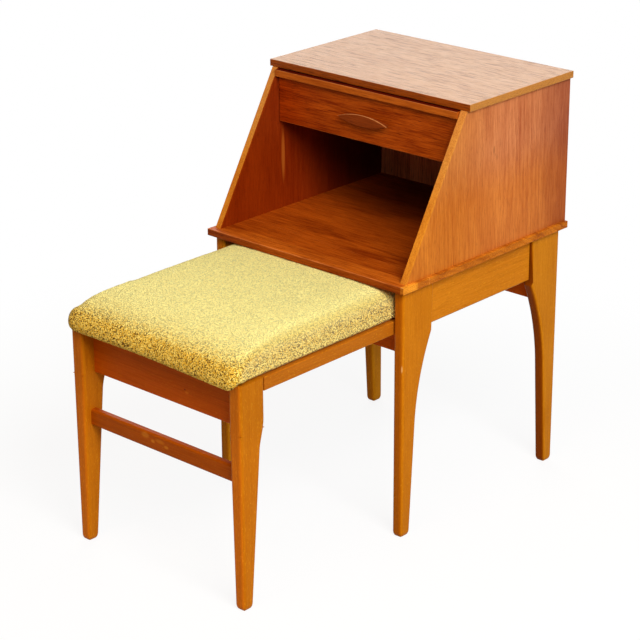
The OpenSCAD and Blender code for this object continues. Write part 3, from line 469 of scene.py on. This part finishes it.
# The outer half of the back panel is plain hardboard.
teak_inside = timber("teak_veneer_back", "Z", "#D08050", "#8A4A26", **DEEP_TEAK, zones=[
    (BACK, (back_low.y + back_high.y) / 2, None, 0.4, "#C8965E"),
])
teak_pull = timber("solid_teak_pull", "X", "#863A10", "#6E2C0A", heart=(-120, 760), **DEEP_TEAK, facings=[
    # painted highlight on the faces that turn up towards the light
    ((0.1, -0.5, 0.86), 0.86, 0.97, "#D08A50"),
])
lipping = timber("teak_lipping", "X", "#B45C18", "#94420C", **DEEP_TEAK, zones=[
    # painted highlight along the lipping's upper arris
    arris_line(*edges_of("slide_lipping"), "#D08448", 0.6),
], facings=[
    # painted shade on the lipping's upper face, under the top board's edge
    (UP, 0.7, 0.95, "#561002"),
])
print("teak materials:", sum("teak" in material.name for material in bpy.data.materials))

# %% [markdown]
# The beech is stained golden where it shows. Much of its light and shade is painted into the stain's tone:
# the front faces of the legs are darker with painted shade, the front of the back right leg much darker
# still, the legs on the left lighter with painted light, and the seat's legs darker high up with painted
# shade under the seat and warmer in front with painted light. The rails that run across turn their large
# faces to the front, and their deeper, redder tone is painted shade. The small marks are a pale rubbed
# arris on the front right leg, a knot in the seat's apron, and scuffs on the stretcher where heels rest.
# Hidden pieces are bare beech and plywood.

# %% Stained beech
BEECH_STAIN = dict(pore="#96560C", streak_share=0.45, ring_share=0.2, streak_size=(60, 1.6),
                   pore_size=(9, 1.2), pore_share=0.35, fleck="#DC9420", fleck_share=0.4, relief=0.05,
                   spacing=16.0)
FRONT_SHADED_STAIN = {**BEECH_STAIN, "fleck_share": 0.12, "pore_share": 0.2}
golden_front_leg = timber("stained_beech_front_leg", "Z", "#C6760C", "#AA5C04", **BEECH_STAIN, zones=[
    # painted light: the legs on the left are lighter
    (LEFT, 0, None, 5, "#DC9016"),
], facings=[
    # painted shade on the faces turned to the front
    (FRONT, 0.5, 0.95, "#AA5A06"),
], marks=[
    ((215, -34.5, 312), (3, 3, 11), "#F0C27C", 0.8),
    ((215, -34.5, 286), (2, 2, 6), "#F0C27C", 0.4),
    ((215, -34.5, 262), (2, 2, 4), "#F0C27C", 0.35),
])
golden_back_leg = timber("stained_beech_back_leg", "Z", "#CA7E12", "#AC6006", **BEECH_STAIN, facings=[
    # painted shade on the front face, which the cabinet and the seat keep from the light
    (FRONT, 0.4, 0.9, "#803A00"),
])
golden_seat_leg = timber("stained_beech_seat_leg", "Z", "#C4720C", "#AA5A06", **BEECH_STAIN, zones=[
    # painted shade high up, under the seat
    (UP, 290, None, 50, "#B66A0A"),
], facings=[
    # painted warm light on the faces turned to the front
    (FRONT, 0.5, 0.95, "#D07010"),
])
golden_along = timber("stained_beech_along", "Y", "#CC7A10", "#B2640A", **BEECH_STAIN)
# a deeper, redder tone: the stain with painted shade for the faces turned to the front
golden_across = timber("stained_beech_across", "X", "#C05204", "#A24002", **FRONT_SHADED_STAIN, marks=[
    ((46.5, -371, 338), (2.2, 4, 1.8), "#4A1E04", 0.9),
    ((51, -371, 334), (6, 4, 3), "#D87A1C", 0.5),
])
# a deeper, redder tone: the stain with painted shade for the faces turned to the front
golden_stretcher = timber("stained_beech_stretcher", "X", "#AC4E04", "#8E3C02", **FRONT_SHADED_STAIN, marks=[
    ((-38, -382, 237), (12, 4, 7), "#D08020", 0.45),
    ((-20, -382, 231), (6, 4, 4), "#D08020", 0.6),
    ((-4, -382, 235), (14, 4, 5), "#C87418", 0.5),
    ((11, -382, 229), (7, 4, 4), "#D08020", 0.55),
])
golden_rail = timber("stained_beech_rail", "Y", "#B46614", "#9A520A", **BEECH_STAIN)
print("stained materials:", sum("stained" in material.name for material in bpy.data.materials))

# %% Bare beech and plywood
BARE = dict(pore="#B98E5C", fleck="#E8C897", fleck_share=0.4, streak_share=0.3, ring_share=0.2, relief=0.06,
            roughness=0.62, pore_size=(9, 1.2), pore_share=0.3, gloss_tint="#FFFFFF")
beech_along = timber("bare_beech_along", "Y", "#D2AA76", "#BE9460", **BARE)
beech_across = timber("bare_beech_across", "X", "#D0A874", "#BC925E", **BARE)
plywood = timber("birch_plywood", "X", "#D8B98A", "#C4A06C", heart=(-20, -500), spacing=26.0,
                 pore="#A88458", streak_share=0.3, ring_share=0.5, roughness=0.65, relief=0.06,
                 gloss_tint="#FFFFFF")
print("materials so far:", len(bpy.data.materials))

# %% [markdown]
# Screws and panel pins are plain drawn steel, a little dulled. Brushed noise in the roughness keeps
# them from looking like chrome.

# %% Steel
SCRATCH = 1.5 * MM
steel = blank_material("drawn_steel")
tree = steel.node_tree
place = add(tree, "ShaderNodeTexCoord")
scratches = add(tree, "ShaderNodeTexNoise", {"Vector": place.outputs["Object"],
                                             "Scale": 1 / SCRATCH, "Detail": 3.0})
shader = add(tree, "ShaderNodeBsdfPrincipled",
             {"Base Color": linear("#B4B2AC"), "Metallic": 1.0,
              "Roughness": between(tree, scratches.outputs["Fac"], 0.3, 0.7, 0.32, 0.5)})
add(tree, "ShaderNodeOutputMaterial", {"Surface": shader.outputs[0]})
print("steel: scratches of", round(SCRATCH / MM, 1), "mm")

# %% [markdown]
# Each part of the frame gets its timber by the way its grain runs: boards and rails along their
# length, panels upright.

# %% Finishes for the frame's parts
FINISHES = {
    teak_top: ["top_board"],
    teak_panel: ["side_panel_left", "side_panel_right"],
    teak_shelf: ["shelf_board", "slide_board"],
    teak_drawer: ["drawer_front"],
    teak_inside: ["back_panel"],
    lipping: ["slide_lipping"],
    golden_along: ["apron_left", "apron_right"],
    golden_rail: ["seat_rail_left", "seat_rail_right"],
    golden_across: ["cross_rail_front", "cross_rail_back", "seat_apron"],
    beech_along: ["slide_guide_left", "slide_guide_right", "drawer_runner_left", "drawer_runner_right",
                  "seat_runner_left", "seat_runner_right", "drawer_side_left", "drawer_side_right",
                  "drawer_dowels", "seat_stops"],
    beech_across: ["slide_rail", "drawer_back", "seat_rail_rear", "seat_corner_blocks", "panel_dowels",
                   "frame_dowels", "slide_pegs", "seat_dowels"],
    plywood: ["seat_board", "drawer_bottom"],
    steel: ["back_pins", "shelf_screws", "runner_screws", "pull_screws", "seat_screws"],
}
for material, names in FINISHES.items():
    for name in names:
        for slot in nodes[name].material_slots:
            slot.material = material
print("finishes on", sum(len(names) for names in FINISHES.values()), "parts")

# %% [markdown]
# A new piece is a bmesh that becomes an object at the origin. Soft arrises need smooth shading, but
# the flat faces beside them have to stay flat. Weighted normals do that: each corner takes its
# direction mostly from the largest face that meets there.

# %% From bmesh to finished piece
SHARP_ANGLE = math.radians(40)


def piece(name, bm, body, material, replaced):
    for face in bm.faces:
        face.smooth = True
    for edge in bm.edges:
        if len(edge.link_faces) == 2:
            edge.smooth = edge.calc_face_angle() < SHARP_ANGLE
    mesh = bpy.data.meshes.new(name)
    bm.to_mesh(mesh)
    bm.free()
    mesh.materials.append(material)
    made = bpy.data.objects.new(name, mesh)
    bpy.context.scene.collection.objects.link(made)
    made.modifiers.new("flat faces stay flat", "WEIGHTED_NORMAL").keep_sharp = True
    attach(made, body)
    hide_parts(*replaced)
    print(name, "has", len(mesh.polygons), "faces")
    return made


def box_between(low, high):
    bm = bmesh.new()
    size = high - low
    bmesh.ops.create_cube(bm, size=1, matrix=Matrix.Translation((low + high) / 2)
                          @ Matrix.Diagonal((size.x, size.y, size.z, 1)))
    return bm


def cut_across(bm, axis, places):
    direction = Vector([1 if i == axis else 0 for i in range(3)])
    for place in places:
        bmesh.ops.bisect_plane(bm, geom=bm.verts[:] + bm.edges[:] + bm.faces[:],
                               plane_co=direction * place, plane_no=direction)


# %% [markdown]
# The legs are the bench's signature. Each cabinet leg is sawn from a board 20 mm thick: its outer edge is
# straight, and its inner edge tapers down and sweeps out under the apron in one curve. A box is cut
# across at many heights, the inner corners are moved to the curve, and the long arrises are bevelled. Near
# the floor the cut sections shrink towards the middle, which rounds the sole. The two seat legs are
# thicker, taper on both faces, and swell at the knee.

# %% How deep a leg is at each height
LEG_FOOT, LEG_ROOT = 25 * MM, 48 * MM
FLARE_POWER, FLARE_LENGTH, SHOULDER_DROP = 2.1, 166 * MM, 6 * MM
SEAT_FOOT, SEAT_ROOT = 22.5 * MM, 49.5 * MM
KNEE_UP, KNEE_LENGTH = 17 * MM, 53 * MM
apron_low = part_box("apron_right")[0].z
seat_apron_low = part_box("seat_apron")[0].z


def cabinet_depth(z, full):
    shoulder = apron_low - SHOULDER_DROP
    if z >= shoulder:
        return full
    rise = max(0.0, 1 - (shoulder - z) / FLARE_LENGTH)
    return LEG_FOOT + (LEG_ROOT - LEG_FOOT) * z / shoulder + (full - LEG_ROOT) * rise ** FLARE_POWER


def seat_depth(z, full):
    knee = seat_apron_low + KNEE_UP
    taper = SEAT_FOOT + (SEAT_ROOT - SEAT_FOOT) * z / knee
    t = min(1.0, max(0.0, 1 - (knee - z) / KNEE_LENGTH))
    return taper + (full - taper) * t * t * (3 - 2 * t)


print("cabinet legs:", round(LEG_FOOT / MM), "mm deep at the floor, flared over",
      round(FLARE_LENGTH / MM), "mm")

# %% Legs
SEAT_FOOT_THICK = 21 * MM
LEG_EASE, SEAT_EASE, LEG_BEVEL_STEPS = 6.5 * MM, 6 * MM, 6
SOLE_UP, SOLE_IN, ON_FLOOR = 9 * MM, 6 * MM, 0.1 * MM
LEG_CUTS, SOLE_CUTS, LEAST_RISE = 28, 6, 1 * MM


def leg(name, node, depth, cuts, straight_side, ease, body, material, thin_foot=None):
    low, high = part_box(node)
    bm = box_between(low, high)
    cut_across(bm, 2, cuts)
    full = high.y - low.y
    inner_x = 1 if low.x + high.x < 0 else -1
    middle = (low + high) / 2
    for vert in bm.verts:
        back = vert.co.y > middle.y
        if back == (straight_side == "front"):
            reach = depth(vert.co.z, full)
            vert.co.y = low.y + reach if straight_side == "front" else high.y - reach
        if thin_foot and (vert.co.x - middle.x) * inner_x > 0:
            thick = thin_foot + (high.x - low.x - thin_foot) * min(1.0, vert.co.z / seat_apron_low)
            vert.co.x = high.x - thick if inner_x < 0 else low.x + thick
    arrises = [e for e in bm.edges if len({v.co.z > LEAST_RISE for v in e.verts}) == 2
               or abs(e.verts[0].co.z - e.verts[1].co.z) > LEAST_RISE]
    bmesh.ops.bevel(bm, geom=arrises, offset=ease, segments=LEG_BEVEL_STEPS, profile=0.5, affect="EDGES",
                    material=-1)
    sole = [v.co.copy() for v in bm.verts if v.co.z < ON_FLOOR]
    sole_middle = sum(sole, Vector()) / len(sole)
    sole_half = max((co - sole_middle).length for co in sole)
    for vert in bm.verts:
        drop = max(0.0, 1 - vert.co.z / SOLE_UP)
        share = 1 - SOLE_IN / sole_half * (1 - math.sqrt(1 - drop * drop))
        vert.co.x = sole_middle.x + (vert.co.x - sole_middle.x) * share
        vert.co.y = sole_middle.y + (vert.co.y - sole_middle.y) * share
    return piece(name, bm, body, material, [node])


def even_cuts(top, length):
    return [top - length * (1 - i / LEG_CUTS) for i in range(LEG_CUTS + 1)]


sole_cuts = [SOLE_UP * (1 - math.sin(math.pi / 2 * i / SOLE_CUTS)) for i in range(SOLE_CUTS)]
flare_cuts = sole_cuts + even_cuts(apron_low - SHOULDER_DROP, FLARE_LENGTH)
knee_cuts = sole_cuts + even_cuts(seat_apron_low + KNEE_UP, KNEE_LENGTH)
for place in ("front_left", "front_right", "back_left", "back_right"):
    finish = golden_back_leg if place == "back_right" else golden_front_leg
    leg("shaped_leg_" + place, "leg_" + place, cabinet_depth, flare_cuts, place.split("_")[0], LEG_EASE,
        "cabinet", finish)
for side in ("left", "right"):
    leg("shaped_seat_leg_" + side, "seat_leg_" + side, seat_depth, knee_cuts + [seat_apron_low], "front",
        SEAT_EASE, "seat", golden_seat_leg, thin_foot=SEAT_FOOT_THICK)

# %% [markdown]
# The stretcher between the seat's legs has well rounded edges, and ends in shoulders against the legs,
# whose inner faces taper. The box is made a touch too long, so that its ends close inside the legs.

# %% Stretcher
STRETCHER_EASE, STRETCHER_BEVEL_STEPS = 4 * MM, 5
END_IN_LEG = 1.2 * MM
LONG_EDGE = 100 * MM
low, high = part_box("seat_stretcher")
leg_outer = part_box("seat_leg_right")[1].x
leg_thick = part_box("seat_leg_right")[1].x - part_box("seat_leg_right")[0].x


def shoulder_x(z):
    thick_here = SEAT_FOOT_THICK + (leg_thick - SEAT_FOOT_THICK) * z / seat_apron_low
    return leg_outer - thick_here + END_IN_LEG


bm = box_between(low, high)
for vert in bm.verts:
    vert.co.x = math.copysign(shoulder_x(vert.co.z), vert.co.x)
long_edges = [e for e in bm.edges if abs(e.verts[0].co.x - e.verts[1].co.x) > LONG_EDGE]
bmesh.ops.bevel(bm, geom=long_edges, offset=STRETCHER_EASE, segments=STRETCHER_BEVEL_STEPS, profile=0.5,
                affect="EDGES", material=-1)
piece("rounded_stretcher", bm, "seat", golden_stretcher, ["seat_stretcher"])

# %% [markdown]
# The drawer's pull is a long lens of teak, a little hollow behind so that fingertips can catch it from
# above or below. It is drawn as a closed outline of two flat arcs, and the outline is extruded
# outwards ring by ring, each ring scaled to its share of the length and the height.

# %% Pull
PULL_STEPS = 48
# Each row holds a share of the length, of the height and of how far the pull stands out.
PULL_SHARES = [(0.88, 0.58, 0), (0.89, 0.59, 0.3), (0.92, 0.68, 0.55), (0.96, 0.84, 0.72),
               (0.99, 0.96, 0.81), (1, 1, 0.87), (1, 1, 0.9), (0.992, 0.972, 0.945), (0.98, 0.92, 0.98),
               (0.965, 0.86, 1)]
low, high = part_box("drawer_pull")
middle, half = (low + high) / 2, (high - low) / 2
arc_radius = (half.x ** 2 + half.z ** 2) / (2 * half.z)


def lens_point(turn, length_share, height_share, out_share):
    x = math.cos(turn) * half.x
    z = math.copysign(math.sqrt(arc_radius ** 2 - x * x) - arc_radius + half.z, math.sin(turn))
    return Vector((x * length_share, high.y - 2 * half.y * out_share, middle.z + z * height_share))


bm = bmesh.new()
ring = bmesh.ops.create_circle(bm, cap_ends=True, segments=PULL_STEPS, radius=1)["verts"]
angles = [math.atan2(v.co.y, v.co.x) for v in ring]
for row, shares in enumerate(PULL_SHARES):
    if row:
        rim = [e for e in bm.edges if all(v in ring for v in e.verts) and len(e.link_faces) == 1]
        front = bmesh.ops.extrude_edge_only(bm, edges=rim)
        found = {v.co.copy().freeze(): v for v in front["geom"] if isinstance(v, bmesh.types.BMVert)}
        ring = [found[v.co.copy().freeze()] for v in ring]
    for vert, angle in zip(ring, angles):
        vert.co = lens_point(angle, *shares)
bmesh.ops.contextual_create(bm, geom=[e for e in bm.edges if e.is_boundary])
bmesh.ops.recalc_face_normals(bm, faces=bm.faces[:])
piece("lens_pull", bm, "drawer", teak_pull, ["drawer_pull"])

# %% [markdown]
# The cushion is a thin foam pad on a plywood board, covered in yellow boucle, a cloth of small looped
# yarns. Its solid already has the crown, the drawn-in sides and the soft front that hangs over the
# frame. A copy is shrunk a little and remeshed with even quads, and a cloth simulation blows it up
# gently, so that the facets turn into the taut, slightly uneven surface of stretched cloth. How far a
# point may move is capped, because the pad has to slide in under the shelf.

# %% Even quads on the cushion
START_SMALLER = 1.2 * MM
MERGED_WITHIN = 0.01 * MM
VOXEL = 4.4 * MM
cushion_low, cushion_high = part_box("seat_cushion")

cushion_mesh = nodes["seat_cushion"].data.copy()
bm = bmesh.new()
bm.from_mesh(cushion_mesh)
bmesh.ops.remove_doubles(bm, verts=bm.verts[:], dist=MERGED_WITHIN)
bm.normal_update()
for vert in bm.verts:
    vert.co -= vert.normal * START_SMALLER
bm.to_mesh(cushion_mesh)
bm.free()
cushion = bpy.data.objects.new("boucle_cushion", cushion_mesh)
bpy.context.scene.collection.objects.link(cushion)


def apply_modifiers(obj):
    bpy.context.view_layer.update()
    evaluated = obj.evaluated_get(bpy.context.evaluated_depsgraph_get())
    done = bpy.data.meshes.new_from_object(evaluated)
    obj.modifiers.clear()
    obj.data = done


remesh = cushion.modifiers.new("even quads", "REMESH")
remesh.mode = "VOXEL"
remesh.voxel_size = VOXEL
apply_modifiers(cushion)
print("cushion:", len(cushion.data.polygons), "quads before the simulation")

# %% Cloth simulation
CLOTH_FRAMES = 20
PRESSURE = 4.0
SWELL_CAP = 3.0 * MM
start = [v.co.copy() for v in cushion.data.vertices]

cloth = cushion.modifiers.new("cloth", "CLOTH")
cloth.settings.quality = 6
cloth.settings.mass = 0.3
cloth.settings.tension_stiffness = 25
cloth.settings.compression_stiffness = 25
cloth.settings.bending_stiffness = 1.5
cloth.settings.use_pressure = True
cloth.settings.uniform_pressure_force = PRESSURE
cloth.settings.effector_weights.gravity = 0
cloth.collision_settings.use_collision = False
cloth.point_cache.frame_start, cloth.point_cache.frame_end = 1, CLOTH_FRAMES
for step in range(1, CLOTH_FRAMES + 1):
    bpy.context.scene.frame_set(step)
apply_modifiers(cushion)
bpy.context.scene.frame_set(1)

for vert, before in zip(cushion.data.vertices, start):
    moved = vert.co - before
    if moved.length > SWELL_CAP:
        vert.co = before + moved * (SWELL_CAP / moved.length)
print("cushion:", len(cushion.data.vertices), "points after the simulation")

# %% [markdown]
# Where the cloth is folded round the two front corners, the stuffing makes soft ears that stand out over
# the legs, more on the left. They lie in front of everything that passes between the cabinet's legs, so
# they may be wider than the seat. Along the sides the cloth is pulled down over the rails' upper edges,
# and in front its edge has slipped down over the legs, more at the right corner than at the left one.
# Each of these is a movement that fades out between two places, and one function adds them up.

# %% Ears, hem and front edge
EAR_OUT_LEFT, EAR_OUT_RIGHT = 11 * MM, 6 * MM
EAR_FULL, EAR_FROM = 16 * MM, 34 * MM
EAR_INNER, EAR_OUTER = 150 * MM, 190 * MM
EAR_BELOW_LOW, EAR_BELOW_HIGH = 34 * MM, 4 * MM
HEM_OUT, HEM_HEIGHT = 2.4 * MM, 14 * MM
HEM_INNER, HEM_OUTER = 180 * MM, 188 * MM
FRONT_OUT, FRONT_FROM = 2.6 * MM, 60 * MM
DROOP_LEFT, DROOP_RIGHT, DROOP_HEIGHT = 2 * MM, 8 * MM, 30 * MM
DROOP_FROM, DROOP_TO = -60 * MM, 190 * MM
PAST_LEG_FRONT, PAST_LEG_SIDE = 5 * MM, 4 * MM
frame_front, frame_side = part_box("seat_leg_right")[0].y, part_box("seat_leg_right")[1].x
rail_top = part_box("seat_rail_right")[1].z


def smooth(value, low, high):
    t = min(1.0, max(0.0, (value - low) / (high - low)))
    return t * t * (3 - 2 * t)


def bulged(co):
    side, behind, above = abs(co.x), co.y - cushion_low.y, co.z - rail_top
    at_front = 1 - smooth(behind, EAR_FULL, EAR_FROM)
    ear = at_front * smooth(side, EAR_INNER, EAR_OUTER)
    ear *= 1 - smooth(co.z, cushion_high.z - EAR_BELOW_LOW, cushion_high.z - EAR_BELOW_HIGH)
    hem = (1 - at_front) * smooth(side, HEM_INNER, HEM_OUTER) * (1 - smooth(above, 0.0, HEM_HEIGHT))
    forward = FRONT_OUT * (1 - smooth(behind, 0.0, FRONT_FROM))
    overhang = max(smooth(frame_front - co.y, 0.0, PAST_LEG_FRONT),
                   smooth(side - frame_side, 0.0, PAST_LEG_SIDE))
    overhang *= at_front * (1 - smooth(above, 0.0, DROOP_HEIGHT))
    droop = DROOP_LEFT + (DROOP_RIGHT - DROOP_LEFT) * smooth(co.x, DROOP_FROM, DROOP_TO)
    ear_out = EAR_OUT_LEFT if co.x < 0 else EAR_OUT_RIGHT
    return Vector((math.copysign(side + ear_out * ear + HEM_OUT * hem, co.x), co.y - forward,
                   co.z - droop * overhang))


for vert in cushion.data.vertices:
    vert.co = bulged(vert.co)
print("cushion: ears stand out by", round(EAR_OUT_LEFT / MM), "and", round(EAR_OUT_RIGHT / MM), "mm")

# %% [markdown]
# Foam can't hold the crisp line of the solid's two long shoulders, so these are rounded off by moving
# each point towards the mean of its neighbours, many times over. At the left front corner the line is
# left as it is, because there the cushion is full right up to the edge.

# %% Rounded shoulders
SHOULDER_FROM, SHOULDER_UP, SHOULDER_ROUNDS = 110 * MM, 16 * MM, 26
SHOULDER_BEHIND_LEFT, SHOULDER_BEHIND_RIGHT = 130 * MM, 30 * MM
bm = bmesh.new()
bm.from_mesh(cushion.data)
shoulders = []
for vert in bm.verts:
    behind = SHOULDER_BEHIND_LEFT if vert.co.x <= 0 else SHOULDER_BEHIND_RIGHT
    if (abs(vert.co.x) > SHOULDER_FROM and vert.co.z > rail_top + SHOULDER_UP
            and vert.co.y > cushion_low.y + behind):
        shoulders.append(vert)
for turn in range(SHOULDER_ROUNDS):
    bmesh.ops.smooth_vert(bm, verts=shoulders, factor=0.5, use_axis_x=True, use_axis_z=True)
bm.to_mesh(cushion.data)
bm.free()
print("cushion: shoulders rounded at", len(shoulders), "points")

# %% [markdown]
# Boucle is a relief rather than a picture: loops of yarn stand up as small irregular nubs, with dark gaps
# between. After one subdivision the quads are fine enough to push groups of loops out of the surface.
# Cells of Voronoi noise, warped so that no two are alike, give the height. The single loops, two to
# three millimetres across, are left to the material. Nothing may come nearer to the shelf or to the
# cabinet's legs than the clearances, because the seat slides in between them.

# %% Boucle relief
CURL = 4.0 * MM
CURL_HEIGHT = 0.6 * MM
CURL_WARP = 1.6 * MM
CROWN_HEIGHT, CROWN_SLOPE = 1.15, 1.3
TOP_CLEARANCE, SIDE_CLEARANCE = 0.5 * MM, 0.6 * MM
shelf_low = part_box("shelf_board")[0].z
clear_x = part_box("leg_front_right")[0].x - SIDE_CLEARANCE

subdivide = cushion.modifiers.new("finer quads", "SUBSURF")
subdivide.levels = subdivide.render_levels = 1
apply_modifiers(cushion)
curls = cushion.data.attributes.new("curl", "FLOAT", "POINT")
normals = [v.normal.copy() for v in cushion.data.vertices]
heights = []
for vert in cushion.data.vertices:
    warp = noise.noise_vector(vert.co / CURL) * CURL_WARP
    nearest = noise.voronoi((vert.co + warp) / CURL)[0][0]
    heights.append(max(0.0, min(1.0, CROWN_HEIGHT - CROWN_SLOPE * nearest)))
curls.data.foreach_set("value", heights)
for vert, normal, height in zip(cushion.data.vertices, normals, heights):
    vert.co += normal * (height - 0.5) * CURL_HEIGHT
    vert.co.z = min(vert.co.z, shelf_low - TOP_CLEARANCE)
    if vert.co.y - cushion_low.y > EAR_FROM:
        vert.co.x = math.copysign(min(abs(vert.co.x), clear_x), vert.co.x)
for polygon in cushion.data.polygons:
    polygon.use_smooth = True
print("cushion: relief on", len(heights), "points")

# %% [markdown]
# The yarn is wool, so it is matt and a little fuzzy: sheen gives a pale bloom at grazing angles. Each
# loop is a cell of Voronoi noise, light straw on its crown and brown gold in the gap round it, and every
# loop has its own strength of colour. The dark gap is partly the yarn's own tone and partly painted
# shade, and the loops give way to it further where the relief sinks, which is painted shade in the
# hollows. The upper side is painted paler than the sides, a painted highlight for the light that falls
# on it, while on the sides the light rakes across the loops and the gaps show.

# %% Boucle loops
LOOP, LOOP_WANDER, WANDER_CELL, BLOTCH = 2.3 * MM, 2.4 * MM, 3.5 * MM, 30 * MM
boucle = blank_material("boucle_yarn")
tree = boucle.node_tree
curl_value = add(tree, "ShaderNodeAttribute", attribute_name="curl").outputs["Fac"]
coordinates = add(tree, "ShaderNodeTexCoord").outputs
place, normal = coordinates["Object"], coordinates["Normal"]
wander = add(tree, "ShaderNodeTexNoise", {"Vector": place, "Scale": 1 / WANDER_CELL, "Detail": 1.0})
centred = add(tree, "ShaderNodeVectorMath", {0: wander.outputs["Color"], 1: (0.5, 0.5, 0.5)},
              operation="SUBTRACT").outputs[0]
shifted = add(tree, "ShaderNodeVectorMath", {0: centred, 1: (LOOP_WANDER,) * 3, 2: place},
              operation="MULTIPLY_ADD").outputs[0]
loops = add(tree, "ShaderNodeTexVoronoi", {"Vector": shifted, "Scale": 1 / LOOP}, feature="F1")
crown = between(tree, loops.outputs["Distance"], 0.45, 0.84, 1.0, 0.0)
own = add(tree, "ShaderNodeSeparateColor", {0: loops.outputs["Color"]}).outputs[0]
blotch = add(tree, "ShaderNodeTexNoise", {"Vector": place, "Scale": 1 / BLOTCH, "Detail": 2.0})
loop_tone = mix(tree, between(tree, own, 0.1, 0.9), linear("#E2B63E"), linear("#FFE880"))
loop_tone = mix(tree, between(tree, blotch.outputs["Fac"], 0.4, 0.7, 0.0, 0.12), loop_tone,
                linear("#DEB43C"))
# painted shade: where the relief sinks, more of the dark gap shows
depth = add(tree, "ShaderNodeMath", {0: between(tree, curl_value, 0.1, 0.6), 1: 0.25, 2: 0.75},
            operation="MULTIPLY_ADD").outputs[0]
shown = add(tree, "ShaderNodeMath", {0: crown, 1: depth}, operation="MULTIPLY").outputs[0]
colour = mix(tree, shown, linear("#604004"), loop_tone)
print("boucle: loops of", round(LOOP / MM, 1), "mm")

# %% [markdown]
# The two long shoulders are a little darker, painted shade that tones down the bright band the window
# lights along them. The front is warmer, painted warm shade, and the two sides are lighter, painted
# light from the window.

# %% Boucle tones
LOOP_RELIEF = 1.4 * MM
PALE_FROM, PALE_TO, PALE_SHARE = 30 * MM, 3 * MM, 0.6
SHOULDER_SHADE_FACING = (0.8, 0, 0.6)
height = add(tree, "ShaderNodeSeparateXYZ", {0: place}).outputs[2]
# painted highlight: the upper side is paler
pale = between(tree, height, cushion_high.z - PALE_FROM, cushion_high.z - PALE_TO, 0.0, PALE_SHARE)
colour = mix(tree, pale, colour, linear("#FFFFAE"))
mirrored = add(tree, "ShaderNodeVectorMath", {0: normal}, operation="ABSOLUTE").outputs[0]
# painted shade on both long shoulders
colour = mix(tree, facing_share(tree, mirrored, SHOULDER_SHADE_FACING, 0.72, 1.0), colour,
             mix(tree, 1.0, colour, linear("#E8E0D2"), "MULTIPLY"))
# painted warm shade on the front
colour = mix(tree, facing_share(tree, normal, FRONT, 0.4, 0.9), colour,
             mix(tree, 1.0, colour, linear("#FFF1CD"), "MULTIPLY"))
# painted light on both sides
colour = mix(tree, facing_share(tree, mirrored, RIGHT, 0.75, 0.95, 0.13), colour, linear("#FFF6C0"))
bump = add(tree, "ShaderNodeBump", {"Height": crown, "Distance": LOOP_RELIEF, "Strength": 0.9})
shader = add(tree, "ShaderNodeBsdfPrincipled",
             {"Base Color": colour, "Roughness": 0.9, "Specular IOR Level": 0.05, "Normal": bump.outputs[0],
              "Sheen Weight": 0.15, "Sheen Roughness": 0.5, "Sheen Tint": linear("#FFF0B0")})
add(tree, "ShaderNodeOutputMaterial", {"Surface": shader.outputs[0]})
cushion.data.materials.clear()
cushion.data.materials.append(boucle)
print("boucle:", len(tree.nodes), "nodes in the material")
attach(cushion, "seat")
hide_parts("seat_cushion")
